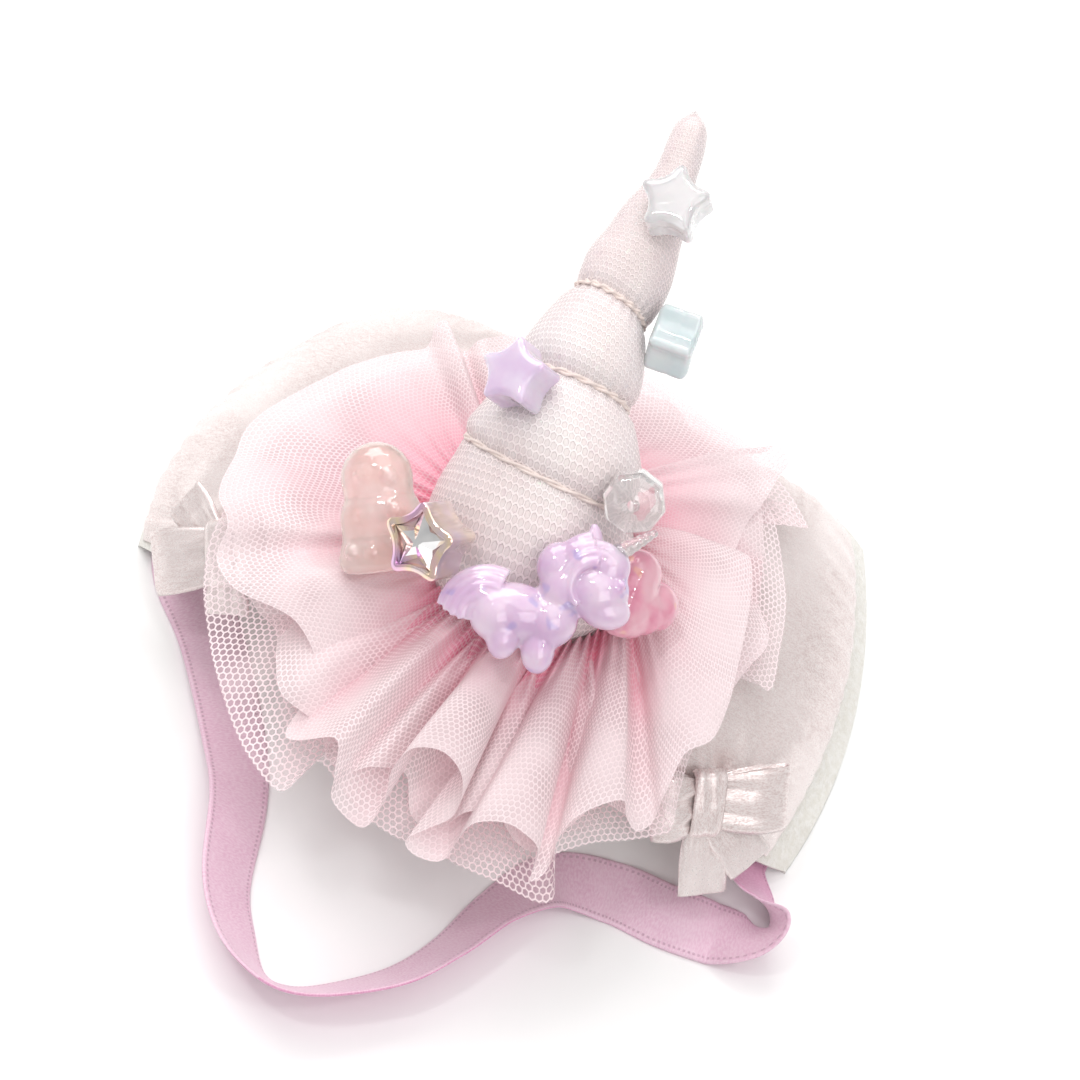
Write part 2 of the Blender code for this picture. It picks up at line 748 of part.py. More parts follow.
def heart_outline(scale, height, count=28):
    """The classic heart curve, scaled to a half width of HEART_SIZE."""
    ring = []
    for i in range(count):
        t = 2 * math.pi * i / count
        x = 16 * math.sin(t) ** 3
        y = 13 * math.cos(t) - 5 * math.cos(2 * t) - 2 * math.cos(3 * t) - math.cos(4 * t)
        ring.append((x * HEART_SIZE / 16 * scale, (y + 2.5) * HEART_SIZE / 16 * scale, height))
    return ring


def make_heart(finish):
    across, out = laid(-42, 45)
    rings = puffed_rings(heart_outline, HEART_THICKNESS,
                         ((0.35, -0.5), (0.75, -0.40), (0.95, -0.2), (1.0, 0.0),
                          (0.95, 0.2), (0.75, 0.40), (0.35, 0.5)))
    return make_bead("rose_heart_bead", finish, rings, HEART_MIDDLE, across, out)


# Section of a bow along its length: place, half height, half thickness, as shares
BOW_SECTIONS = (
    (-1.0, 0.94, 0.34), (-0.92, 1.0, 0.8), (-0.6, 1.0, 1.0), (-0.28, 0.97, 0.8), (-0.1, 0.90, 0.5),
    (0.1, 0.90, 0.5), (0.28, 0.97, 0.8), (0.6, 1.0, 1.0), (0.92, 1.0, 0.8), (1.0, 0.94, 0.34),
)
BOW_COUNT = 12
KNOT_HALF_LENGTH = 2.7
KNOT_HALF_HEIGHT = 4.9
KNOT_WALL = 1.3
TAIL_HALF_WIDTH = 4.0
TAIL_WALL = 1.1


def oval(x, half_height, half_thickness, lift=0.0, count=BOW_COUNT):
    """A flattened ring with full corners in the plane across x."""
    ring = []
    for i in range(count):
        angle = 2 * math.pi * i / count
        c, s = math.cos(angle), math.sin(angle)
        ring.append((x, half_height * math.copysign(abs(c) ** 0.6, c),
                     lift + half_thickness * math.copysign(abs(s) ** 0.6, s)))
    return ring


def make_bow(side, satin, middle, right, out, tails, loop_reach):
    """Two flat loops and their tails in one piece, with the knot band laid over the middle."""
    half = BOW_THICKNESS / 2
    mesh = bmesh.new()
    rings = []
    for share, height, thickness in BOW_SECTIONS:
        reach = loop_reach[0] if share < 0 else loop_reach[1]
        rings.append(oval(share * reach, BOW_HALF_HEIGHT * height, half * thickness, half))
    loft(mesh, [[placed(p, middle, right, out) for p in ring] for ring in rings])
    bow = finished(f"{side}_bow", mesh, satin)
    for number, (turn, length) in enumerate(tails):
        mesh = bmesh.new()
        swing = Matrix.Rotation(math.radians(turn), 3, "Z")
        rows = []
        for x, width, height in ((0.0, 2.0, 1.2), (4.0, 2.6, 1.0), (8.5, TAIL_HALF_WIDTH, 0.7),
                                 (length, TAIL_HALF_WIDTH, 0.5)):
            height += 0.2 * number
            corners = ((x, -width, height), (x, width, height), (x, width, height + TAIL_WALL),
                       (x, -width, height + TAIL_WALL))
            rows.append([placed(swing @ Vector(corner), middle, right, out) for corner in corners])
        loft(mesh, rows)
        tail = finished(f"{side}_tail_{number}", mesh, satin)
        tail.hide_render = True
        tail.display_type = "WIRE"
        join = bow.modifiers.new(f"tail {number}", "BOOLEAN")
        join.operation = "UNION"
        join.object = tail
    mesh = bmesh.new()
    lift = half * 1.8 + SEAT_GAP + KNOT_WALL / 2
    rings = [
        oval(x, KNOT_HALF_HEIGHT * share, KNOT_WALL / 2 * share, lift)
        for x, share in ((-KNOT_HALF_LENGTH, 0.8), (-KNOT_HALF_LENGTH + 0.5, 1.0),
                         (KNOT_HALF_LENGTH - 0.5, 1.0), (KNOT_HALF_LENGTH, 0.8))
    ]
    loft(mesh, [[placed(p, middle, right, out) for p in ring] for ring in rings])
    finished(f"{side}_bow_knot", mesh, satin)


def make_bows(satin):
    """Each bow is sewn on a front corner of the pad and hangs past its edge."""
    # side, middle, direction it faces, turn of its loops, tails as (turn, length), loop reach
    rows = (
        ("right", (39.4, -24.7, 18.9), (0.46, -0.52, 0.72), -4, ((-86, 15.6), (-50, 14.0)), (9.0, 13.4)),
        ("left", (-48.6, -25.2, 20.8), (-0.34, -0.72, 0.60), 6, ((128, 12.0), (-96, 10.0)), (13.6, 8.0)),
    )
    for side, middle, out, turn, tails, reach in rows:
        right, _out = laid(turn)
        make_bow(side, satin, Vector(middle), right, Vector(out), tails, reach)


def build():
    clear_scene()
    satin = material("pearl_satin", (0.80, 0.74, 0.72), 0.35)
    felt = material("cream_felt", (0.86, 0.86, 0.80), 0.95)
    net = material("white_net", (0.92, 0.84, 0.85), 0.6)
    thread = material("cream_thread", (0.85, 0.72, 0.65), 0.7)
    tulle = material("pink_tulle", (0.90, 0.62, 0.68), 0.8)
    velvet = material("mauve_velvet", (0.72, 0.46, 0.60), 0.9)
    plated = material("rose_plating", (0.86, 0.60, 0.72), 0.12, 0.6)
    crystal = material("cut_crystal", (0.86, 0.86, 0.86), 0.05, 0.8)
    resins = {
        "white_star_bead": material("pearl_resin", (0.86, 0.85, 0.84), 0.2),
        "blue_star_bead": material("blue_resin", (0.72, 0.82, 0.84), 0.15),
        "lilac_star_bead": material("lilac_resin", (0.76, 0.64, 0.78), 0.2),
    }
    rondelle = material("clear_resin", (0.90, 0.85, 0.83), 0.1)
    peach = material("peach_resin", (0.92, 0.70, 0.66), 0.08)
    unicorn = material("orchid_resin", (0.76, 0.58, 0.76), 0.15)
    rose = material("rose_pearl", (0.84, 0.48, 0.52), 0.12)

    make_saddle(satin, felt)
    make_horn(net)
    make_threads(thread)
    make_ruffles(tulle)
    make_strap(velvet)
    make_horn_beads(resins)
    make_rondelle(rondelle)
    make_peach_bead(peach)
    make_star_setting(plated, crystal)
    make_unicorn(unicorn)
    make_heart(rose)
    make_bows(satin)


build()
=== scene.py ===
"""Looks of the unicorn horn headpiece.

The plain soft solids of the frame are replaced by satin, felt, net, tulle and ribbon, and the
plain beads by cut, moulded and plated ones. Drawing lengths are in millimetres, as in the
part's source, and metres() brings them into the frame.
"""

import math

import bmesh
import bpy
from mathutils import Matrix, Vector, noise


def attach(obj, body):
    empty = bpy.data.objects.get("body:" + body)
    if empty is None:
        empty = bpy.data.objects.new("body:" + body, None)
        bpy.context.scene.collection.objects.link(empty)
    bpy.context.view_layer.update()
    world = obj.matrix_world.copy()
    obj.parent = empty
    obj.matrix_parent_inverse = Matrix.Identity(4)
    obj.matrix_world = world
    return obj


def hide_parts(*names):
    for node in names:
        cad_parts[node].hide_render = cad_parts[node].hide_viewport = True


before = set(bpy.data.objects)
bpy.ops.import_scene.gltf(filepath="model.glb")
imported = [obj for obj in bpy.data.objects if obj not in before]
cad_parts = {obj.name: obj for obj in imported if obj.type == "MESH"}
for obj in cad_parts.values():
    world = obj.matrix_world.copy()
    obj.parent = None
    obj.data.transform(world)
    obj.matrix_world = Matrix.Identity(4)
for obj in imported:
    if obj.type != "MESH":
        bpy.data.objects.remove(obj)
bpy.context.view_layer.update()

MM = 0.001
FOOTPRINT_MIDDLE = Vector((-3.76, -18.33, 0.0))


def metres(point):
    return (Vector(point) - FOOTPRINT_MIDDLE) * MM


def blend(low, high, share):
    return low + (high - low) * share


def smoothstep(value):
    value = min(1.0, max(0.0, value))
    return value * value * (3 - 2 * value)


def from_table(rows, key, column):
    if key <= rows[0][0]:
        return rows[0][column]
    for low, high in zip(rows, rows[1:]):
        if key <= high[0]:
            return blend(low[column], high[column], (key - low[0]) / (high[0] - low[0]))
    return rows[-1][column]


def eased(points, steps):
    """Rows of numbers on a Catmull-Rom curve through the given rows."""
    points = [list(row) for row in points]
    ends = [points[0]] + points + [points[-1]]
    path = []
    for a, b, c, d in zip(ends, ends[1:], ends[2:], ends[3:]):
        for i in range(steps):
            t = i / steps
            path.append([
                0.5 * (2 * q + (r - p) * t + (2 * p - 5 * q + 4 * r - s) * t * t
                       + (3 * q - p - 3 * r + s) * t ** 3)
                for p, q, r, s in zip(a, b, c, d)
            ])
    path.append(points[-1])
    return path


# Camera: the place and axes of the eye in the drawing, as the photograph was taken

EYE = Vector((33.5, -231.0, 402.1))
VIEW_RIGHT = Vector((0.891, 0.421, 0.173))
VIEW_UP = Vector((-0.447, 0.741, 0.501))
VIEW_BACK = Vector((0.083, -0.523, 0.848))


def make_camera():
    data = bpy.data.cameras.new("studio_camera")
    data.lens = 90.3
    data.sensor_width = 36.0
    data.clip_start = 0.01
    data.clip_end = 20.0
    camera = bpy.data.objects.new("studio_camera", data)
    bpy.context.scene.collection.objects.link(camera)
    back = VIEW_BACK.normalized()
    right = (VIEW_RIGHT - back * VIEW_RIGHT.dot(back)).normalized()
    up = back.cross(right)
    turn = Matrix((right, up, back)).transposed().to_4x4()
    camera.matrix_world = Matrix.Translation(metres(EYE)) @ turn
    bpy.context.scene.camera = camera


def make_light(name, place, aim, size, power, colour=(1.0, 1.0, 1.0)):
    data = bpy.data.lights.new(name, "AREA")
    data.shape = "RECTANGLE"
    data.size, data.size_y = size
    data.energy = power
    data.color = colour
    light = bpy.data.objects.new(name, data)
    light.location = place
    light.rotation_euler = (Vector(aim) - Vector(place)).to_track_quat("-Z", "Y").to_euler()
    bpy.context.scene.collection.objects.link(light)


def make_studio():
    scene = bpy.context.scene
    scene.view_settings.view_transform = "Standard"
    world = bpy.data.worlds.new("studio_air")
    world.use_nodes = True
    sky = world.node_tree.nodes["Background"]
    sky.inputs["Color"].default_value = (1.0, 0.995, 0.99, 1.0)
    sky.inputs["Strength"].default_value = 0.53
    scene.world = world
    make_light("window_back_left", (-0.55, 0.45, 0.75), (0, 0, 0.02), (0.7, 0.7), 4.7, (1.0, 0.99, 0.98))
    make_light("window_front_right", (0.5, -0.55, 0.8), (0, 0, 0.02), (0.6, 0.6), 2.0)
    make_light("overhead", (0.05, 0.1, 1.1), (0, 0, 0), (0.9, 0.9), 2.6)
    make_light("spark_left", (-0.22, -0.10, 0.62), (0, 0, 0.03), (0.05, 0.09), 0.42)
    make_light("spark_right", (0.30, -0.02, 0.58), (0, 0, 0.03), (0.05, 0.05), 0.30)
    make_light("spark_back", (-0.05, 0.34, 0.55), (0, 0, 0.03), (0.09, 0.05), 0.30)

    bpy.ops.object.select_all(action="DESELECT")
    bpy.ops.mesh.primitive_plane_add(size=6.0, location=(0, 0, 0))
    floor = bpy.context.object
    floor.name = "table_top"
    floor.data.materials.append(paper_white())


# Materials

def fresh(name):
    made = bpy.data.materials.new(name)
    made.use_nodes = True
    return made, made.node_tree, made.node_tree.nodes["Principled BSDF"]


def add(tree, kind, sockets=None, **settings):
    """A node with its settings and its sockets filled with numbers or joined to other sockets."""
    made = tree.nodes.new(kind)
    for name, value in settings.items():
        setattr(made, name, value)
    for name, value in (sockets or {}).items():
        if isinstance(value, bpy.types.NodeSocket):
            tree.links.new(value, made.inputs[name])
        else:
            made.inputs[name].default_value = value
    return made


def math_node(tree, operation, first, second=0.0):
    return add(tree, "ShaderNodeMath", {0: first, 1: second}, operation=operation).outputs[0]


def times(tree, first, second):
    return math_node(tree, "MULTIPLY", first, second)


def plus(tree, first, second):
    return math_node(tree, "ADD", first, second)


def minus(tree, first, second):
    return math_node(tree, "SUBTRACT", first, second)


def vector_node(tree, operation, first, second=(0, 0, 0), output=0):
    made = add(tree, "ShaderNodeVectorMath", {0: first, 1: second}, operation=operation)
    return made.outputs[output]


def ramp(tree, factor, stops):
    made = add(tree, "ShaderNodeValToRGB", {"Fac": factor})
    points = made.color_ramp.elements
    while len(points) < len(stops):
        points.new(0.5)
    for point, (place, colour) in zip(points, stops):
        point.position = place
        point.color = (*colour, 1.0)
    return made.outputs["Color"]


def mix_colour(tree, factor, first, second):
    made = add(tree, "ShaderNodeMix", data_type="RGBA")
    for socket, value in ((made.inputs["Factor"], factor), (made.inputs[6], first), (made.inputs[7], second)):
        if isinstance(value, bpy.types.NodeSocket):
            tree.links.new(value, socket)
        elif isinstance(value, tuple):
            socket.default_value = (*value, 1.0)
        else:
            socket.default_value = value
    return made.outputs[2]


def stretch(tree, value, low, high, to_low=0.0, to_high=1.0):
    made = add(tree, "ShaderNodeMapRange",
               {"Value": value, "From Min": low, "From Max": high, "To Min": to_low, "To Max": to_high},
               interpolation_type="SMOOTHSTEP")
    return made.outputs["Result"]


def noise_node(tree, vector, scale, detail=3.0, roughness=0.5):
    made = add(tree, "ShaderNodeTexNoise",
               {"Vector": vector, "Scale": scale, "Detail": detail, "Roughness": roughness})
    return made.outputs["Fac"]


def drawn_out(tree, vector, across, along, turn=0.0):
    """Noise drawn out along the threads, with that many grains to the metre each way."""
    mapping = {"Vector": vector, "Rotation": (0, 0, turn), "Scale": (across, along, 1.0)}
    return noise_node(tree, add(tree, "ShaderNodeMapping", mapping).outputs[0], 1.0, 2.0)


def bump(tree, shader, height, strength, distance):
    made = add(tree, "ShaderNodeBump", {"Height": height, "Strength": strength, "Distance": distance})
    tree.links.new(made.outputs["Normal"], shader.inputs["Normal"])


def fill(shader, **values):
    for name, value in values.items():
        shader.inputs[name.replace("_", " ")].default_value = value


def cloth_place(tree, name="cloth"):
    return add(tree, "ShaderNodeUVMap", uv_map=name).outputs["UV"]


def object_place(tree):
    return add(tree, "ShaderNodeTexCoord").outputs["Object"]


def paper_white():
    made, tree, shader = fresh("paper_white")
    grain = noise_node(tree, object_place(tree), 60.0)
    colour = mix_colour(tree, grain, (0.93, 0.93, 0.925), (0.96, 0.96, 0.955))
    tree.links.new(colour, shader.inputs["Base Color"])
    fill(shader, Roughness=0.9)
    return made


def hexagon_group():
    """Distance inside a honeycomb: 0 on the net's threads, 0.5 in the middle of each cell."""
    group = bpy.data.node_groups.new("honeycomb", "ShaderNodeTree")
    group.interface.new_socket("Vector", in_out="INPUT", socket_type="NodeSocketVector")
    group.interface.new_socket("Edge", in_out="OUTPUT", socket_type="NodeSocketFloat")
    start = group.nodes.new("NodeGroupInput")
    end = group.nodes.new("NodeGroupOutput")
    half = (0.5, 0.8660254, 0.5)
    minus = (-0.5, -0.8660254, -0.5)

    def wrapped(vector):
        made = add(group, "ShaderNodeVectorMath", {0: vector, 1: half, 2: minus}, operation="WRAP")
        return made.outputs[0]

    place = start.outputs["Vector"]
    first = wrapped(place)
    second = wrapped(vector_node(group, "SUBTRACT", place, half))
    nearer = math_node(group, "LESS_THAN", vector_node(group, "LENGTH", first, output=1),
                       vector_node(group, "LENGTH", second, output=1))
    chosen = add(group, "ShaderNodeMix", {"Factor": nearer}, data_type="VECTOR")
    group.links.new(second, chosen.inputs[4])
    group.links.new(first, chosen.inputs[5])
    cell = vector_node(group, "ABSOLUTE", chosen.outputs[1])
    slant = vector_node(group, "DOT_PRODUCT", cell, (0.5, 0.8660254, 0.0), output=1)
    flat = add(group, "ShaderNodeSeparateXYZ", {0: cell}).outputs["X"]
    edge = math_node(group, "SUBTRACT", 0.5, math_node(group, "MAXIMUM", flat, slant))
    group.links.new(edge, end.inputs["Edge"])
    return group


HONEYCOMB = hexagon_group()


def honeycomb(tree, vector, cell):
    """The honeycomb of a net with cells of that width in metres, pulled a little out of true."""
    pull = add(tree, "ShaderNodeTexNoise", {"Vector": vector, "Scale": 260.0, "Detail": 1.0}).outputs["Color"]
    pull = vector_node(tree, "SCALE", vector_node(tree, "SUBTRACT", pull, (0.5, 0.5, 0.5)))
    pull.node.inputs["Scale"].default_value = 0.22 * cell
    spot = vector_node(tree, "ADD", vector, pull)
    spot = vector_node(tree, "SCALE", spot)
    spot.node.inputs["Scale"].default_value = 1.0 / cell
    flat = vector_node(tree, "MULTIPLY", spot, (1.0, 1.0, 0.0))
    made = add(tree, "ShaderNodeGroup", node_tree=HONEYCOMB)
    tree.links.new(flat, made.inputs["Vector"])
    return made.outputs["Edge"]


def tulle(name, deep, pale, cell, film_near, film_far, thread_width):
    """Gathered net: threads round open cells, denser and deeper in colour towards the gathers, with painted light
    that makes the rim's raised crests paler.
    """
    made, tree, shader = fresh(name)
    place = cloth_place(tree)
    spread = add(tree, "ShaderNodeSeparateXYZ", {0: cloth_place(tree, "gather")})
    out, crest = spread.outputs["X"], spread.outputs["Y"]
    edge = honeycomb(tree, place, cell)
    thread = stretch(tree, edge, thread_width * 0.6, thread_width * 1.25, 1.0, 0.0)
    patches = noise_node(tree, object_place(tree), 55.0, 2.0)
    outward = plus(tree, out, times(tree, minus(tree, patches, 0.5), 0.4))
    # Painted light: where the rim rises higher the net is painted paler, as lit crests over deeper, shaded valleys.
    outward = plus(tree, outward, times(tree, minus(tree, crest, 0.4), 0.45))
    middle = tuple(blend(a, b, 0.58) for a, b in zip(deep, pale))
    colour = ramp(tree, outward, ((0.05, deep), (0.42, middle), (0.9, pale)))
    doubled = stretch(tree, noise_node(tree, object_place(tree), 75.0, 1.0), 0.38, 0.62)
    show = times(tree, thread, minus(tree, 0.55, times(tree, doubled, 0.30)))
    colour = mix_colour(tree, show, colour, tuple(min(0.97, c * 1.02 + 0.05) for c in pale))
    tree.links.new(colour, shader.inputs["Base Color"])
    film = stretch(tree, out, 0.0, 0.8, film_near, film_far)
    film = plus(tree, film, times(tree, doubled, 0.22))
    alpha = math_node(tree, "MAXIMUM", times(tree, thread, 0.90), film)
    tree.links.new(alpha, shader.inputs["Alpha"])
    bump(tree, shader, thread, 0.5, 0.0002)
    fill(shader, Roughness=0.75, Sheen_Weight=0.35, Sheen_Roughness=0.4)
    shader.inputs["Sheen Tint"].default_value = (1.0, 0.93, 0.94, 1.0)
    return made


def satin(name, dark, light):
    """Silk satin: fine slanting twill that glints, soft swells and a broad sheen, with painted glints and painted
    sheen where the floats and swells are painted paler.
    """
    made, tree, shader = fresh(name)
    place = cloth_place(tree)
    floats = drawn_out(tree, place, 2200.0, 5200.0, 0.9)
    streaks = drawn_out(tree, place, 500.0, 2600.0)
    swells_and_sheen = noise_node(tree, object_place(tree), 55.0, 1.0)
    weave_and_glints = plus(tree, times(tree, floats, 0.65), times(tree, streaks, 0.35))
    # Painted light: the colour is partly the twill's own tone and partly painted glints on the raised floats, and
    # the soft swells are painted paler as painted sheen.
    colour = mix_colour(tree, stretch(tree, weave_and_glints, 0.38, 0.64), dark, light)
    colour = mix_colour(tree, stretch(tree, swells_and_sheen, 0.40, 0.70, 0.0, 0.6), colour, light)
    tree.links.new(colour, shader.inputs["Base Color"])
    tree.links.new(stretch(tree, weave_and_glints, 0.35, 0.65, 0.42, 0.26), shader.inputs["Roughness"])
    bump(tree, shader, plus(tree, weave_and_glints, swells_and_sheen), 0.30, 0.00012)
    fill(shader, Metallic=0.35, Sheen_Weight=0.15, Sheen_Roughness=0.3, Specular_IOR_Level=0.8,
         Anisotropic=0.3, Coat_Weight=0.2, Coat_Roughness=0.25)
    return made


def felt():
    made, tree, shader = fresh("cream_felt")
    place = object_place(tree)
    fluff = noise_node(tree, place, 900.0, 6.0, 0.7)
    broad = noise_node(tree, place, 120.0, 3.0)
    colour = mix_colour(tree, stretch(tree, fluff, 0.35, 0.7), (0.80, 0.77, 0.70), (0.92, 0.90, 0.86))
    colour = mix_colour(tree, stretch(tree, broad, 0.4, 0.8, 0.0, 0.35), colour, (0.94, 0.92, 0.88))
    tree.links.new(colour, shader.inputs["Base Color"])
    bump(tree, shader, fluff, 0.9, 0.0004)
    fill(shader, Roughness=0.95, Sheen_Weight=0.6, Sheen_Roughness=0.6)
    return made


def ribbon(name, dark, light, velvet):
    """Ribbon with rolled edges: u runs along it and v across it, both in metres."""
    made, tree, shader = fresh(name)
    place = cloth_place(tree)
    split = add(tree, "ShaderNodeSeparateXYZ", {0: place})
    along, across = split.outputs["X"], split.outputs["Y"]
    from_edge = minus(tree, 0.0055, math_node(tree, "ABSOLUTE", across))
    from_seam = math_node(tree, "ABSOLUTE", minus(tree, from_edge, 0.0009))
    seam = stretch(tree, from_seam, 0.0001, 0.0003, 1.0, 0.0)
    beat = math_node(tree, "SINE", times(tree, along, 2 * math.pi / 0.0008))
    stitch = times(tree, seam, stretch(tree, beat, -0.3, 0.5))
    ribs = drawn_out(tree, place, 3400.0, 1300.0)
    pile = noise_node(tree, object_place(tree), 150.0, 4.0)
    colour = mix_colour(tree, stretch(tree, ribs, 0.3, 0.7, 0.0, 0.8), dark, light)
    colour = mix_colour(tree, stretch(tree, pile, 0.35, 0.7, 0.0, 0.4), colour, light)
    colour = mix_colour(tree, times(tree, stitch, 0.7), colour, tuple(c * 0.72 for c in dark))
    tree.links.new(colour, shader.inputs["Base Color"])
    height = minus(tree, times(tree, ribs, 0.5), stitch)
    bump(tree, shader, height, 0.5, 0.00015)
    fill(shader, Roughness=0.75 if velvet else 0.45, Sheen_Weight=0.8 if velvet else 0.4,
         Sheen_Roughness=0.35)
    shader.inputs["Sheen Tint"].default_value = (1.0, 0.86, 0.95, 1.0)
    return made


def stuffing_film():
    """Crinkled pearl film over white stuffing, which glitters through the net."""
    made, tree, shader = fresh("pearl_film")
    place = object_place(tree)
    crinkle = add(tree, "ShaderNodeTexVoronoi", {"Vector": place, "Scale": 1500.0}, feature="F1")
    soft = noise_node(tree, place, 90.0, 3.0)
    glint = add(tree, "ShaderNodeSeparateColor", {0: crinkle.outputs["Color"]}).outputs[0]
    # Painted light: the glinting cells are painted paler as well as made glossier, a painted sparkle.
    colour = mix_colour(tree, stretch(tree, glint, 0.35, 0.95), (0.98, 0.86, 0.855), (1.0, 0.95, 0.945))
    colour = mix_colour(tree, stretch(tree, glint, 0.10, 0.0, 0.0, 0.55), colour, (0.70, 0.45, 0.58))
    colour = mix_colour(tree, stretch(tree, soft, 0.4, 0.8, 0.0, 0.5), colour, (0.93, 0.84, 0.85))
    tree.links.new(colour, shader.inputs["Base Color"])
    tree.links.new(stretch(tree, glint, 0.3, 0.8, 0.5, 0.12), shader.inputs["Roughness"])
    height = plus(tree, glint, times(tree, soft, 2.0))
    bump(tree, shader, height, 0.8, 0.0003)
    fill(shader, Specular_IOR_Level=0.7, Coat_Weight=0.25, Coat_Roughness=0.2,
         Thin_Film_Thickness=380.0, Thin_Film_IOR=1.4)
    return made


def horn_netting():
    made, tree, shader = fresh("white_net")
    place = cloth_place(tree)
    edge = honeycomb(tree, place, 0.00084)
    thread = stretch(tree, edge, 0.08, 0.17, 1.0, 0.0)
    soft = noise_node(tree, object_place(tree), 50.0, 2.0)
    colour = mix_colour(tree, stretch(tree, soft, 0.35, 0.7), (0.99, 0.86, 0.855), (0.99, 0.92, 0.915))
    tree.links.new(colour, shader.inputs["Base Color"])
    tree.links.new(math_node(tree, "MAXIMUM", times(tree, thread, 0.85), 0.52), shader.inputs["Alpha"])
    bump(tree, shader, thread, 0.8, 0.0002)
    fill(shader, Roughness=0.45, Sheen_Weight=0.4)
    return made


def winding_thread():
    made, tree, shader = fresh("cream_thread")
    fibres = noise_node(tree, object_place(tree), 2200.0, 3.0)
    tree.links.new(mix_colour(tree, fibres, (0.74, 0.60, 0.55), (0.90, 0.80, 0.76)), shader.inputs["Base Color"])
    bump(tree, shader, fibres, 0.6, 0.0001)
    fill(shader, Roughness=0.7, Sheen_Weight=0.4)
    return made


def resin(name, deep, pale, clear, milk, film=0.0, mark=None):
    """Cast resin: clear shares how much light goes through and milk how much it clouds."""
    made, tree, shader = fresh(name)
    place = object_place(tree)
    cloud = noise_node(tree, place, 180.0, 3.0)
    colour = mix_colour(tree, stretch(tree, cloud, 0.3, 0.7), deep, pale)
    if mark:
        spots = noise_node(tree, place, 330.0, 1.0)
        colour = mix_colour(tree, stretch(tree, spots, 0.62, 0.72, 0.0, 0.55), colour, mark)
    tree.links.new(colour, shader.inputs["Base Color"])
    wear = noise_node(tree, place, 900.0, 2.0)
    tree.links.new(stretch(tree, wear, 0.3, 0.8, 0.05, 0.12), shader.inputs["Roughness"])
    bump(tree, shader, noise_node(tree, place, 260.0, 2.0), 0.12, 0.0003)
    fill(shader, Transmission_Weight=clear, Subsurface_Weight=milk, Subsurface_Scale=0.002, IOR=1.5,
         Coat_Weight=1.0, Coat_Roughness=0.02, Coat_IOR=1.6, Thin_Film_Thickness=film, Thin_Film_IOR=1.5)
    shader.inputs["Subsurface Radius"].default_value = (1.0, 0.7, 0.8)
    return made


def plating():
    """Vacuum plating that runs from lilac through pink to gold."""
    made, tree, shader = fresh("rose_plating")
    place = object_place(tree)
    drift = noise_node(tree, place, 150.0, 1.0)
    colour = ramp(tree, drift, ((0.30, (0.62, 0.42, 0.78)), (0.45, (0.90, 0.55, 0.68)),
                                (0.58, (0.95, 0.74, 0.52)), (0.72, (0.72, 0.60, 0.86))))
    tree.links.new(colour, shader.inputs["Base Color"])
    tree.links.new(stretch(tree, noise_node(tree, place, 700.0), 0.3, 0.8, 0.06, 0.16), shader.inputs["Roughness"])
    fill(shader, Metallic=0.85, Coat_Weight=1.0, Coat_Roughness=0.03, Thin_Film_Thickness=450.0, Thin_Film_IOR=1.6)
    return made


def cut_stone():
    made, tree, shader = fresh("cut_crystal")
    place = object_place(tree)
    haze = noise_node(tree, place, 300.0, 1.0)
    colour = mix_colour(tree, stretch(tree, haze, 0.3, 0.7), (0.74, 0.74, 0.76), (0.93, 0.92, 0.92))
    tree.links.new(colour, shader.inputs["Base Color"])
    tree.links.new(stretch(tree, haze, 0.3, 0.8, 0.02, 0.07), shader.inputs["Roughness"])
    fill(shader, Metallic=0.9, Coat_Weight=1.0, Coat_Roughness=0.02)
    return made


def belongs(piece, slot, *nodes):
    """A piece rides on the headpiece and stands for its nodes; the slot is not used."""
    if nodes:
        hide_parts(*nodes)
    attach(piece, "root")


# Mesh helpers

def joined_object(name, mesh, finishes, smooth=True):
    data = bpy.data.meshes.new(name)
    mesh.to_mesh(data)
    mesh.free()
    if smooth:
        data.shade_smooth()
    for finish in finishes:
        data.materials.append(finish)
    made = bpy.data.objects.new(name, data)
    bpy.context.scene.collection.objects.link(made)
    return made


def write_uv(mesh, name, value_of):
    """Fill a UV layer from each loop's vertex through value_of(vertex index, face)."""
    layer = mesh.loops.layers.uv.new(name)
    for face in mesh.faces:
        for loop in face.loops:
            loop[layer].uv = value_of(loop.vert.index, face)


def grid_mesh(points, wraps_u=False, wraps_v=False):
    """A bmesh of quads over rows of points, in metres; the vertex index is row * columns + column."""
    mesh = bmesh.new()
    rows, columns = len(points), len(points[0])
    for row in points:
        for point in row:
            mesh.verts.new(point)
    mesh.verts.ensure_lookup_table()
    mesh.verts.index_update()
    for i in range(rows if wraps_u else rows - 1):
        for j in range(columns if wraps_v else columns - 1):
            k, m = (i + 1) % rows, (j + 1) % columns
            mesh.faces.new([mesh.verts[a * columns + b] for a, b in ((i, j), (k, j), (k, m), (i, m))])
    return mesh


def shell(top, low):
    """A closed wall between two sheets of points that lie over each other."""
    mesh = grid_mesh(top)
    rows, columns = len(top), len(top[0])
    above = [[mesh.verts[i * columns + j] for j in range(columns)] for i in range(rows)]
    under = [[mesh.verts.new(point) for point in row] for row in low]
    mesh.verts.index_update()
    for i in range(rows - 1):
        for j in range(columns - 1):
            mesh.faces.new((under[i][j], under[i][j + 1], under[i + 1][j + 1], under[i + 1][j]))
        for j in (0, columns - 1):
            mesh.faces.new((above[i][j], under[i][j], under[i + 1][j], above[i + 1][j]))
    for j in range(columns - 1):
        for i in (0, rows - 1):
            mesh.faces.new((above[i][j], above[i][j + 1], under[i][j + 1], under[i][j]))
    bmesh.ops.recalc_face_normals(mesh, faces=mesh.faces)
    return mesh


def placed(local, centre, x_axis, normal):
    normal = normal.normalized()
    x_axis = (x_axis - normal * x_axis.dot(normal)).normalized()
    y_axis = normal.cross(x_axis)
    return centre + x_axis * local[0] + y_axis * local[1] + normal * local[2]


# Saddle, as in the part's source

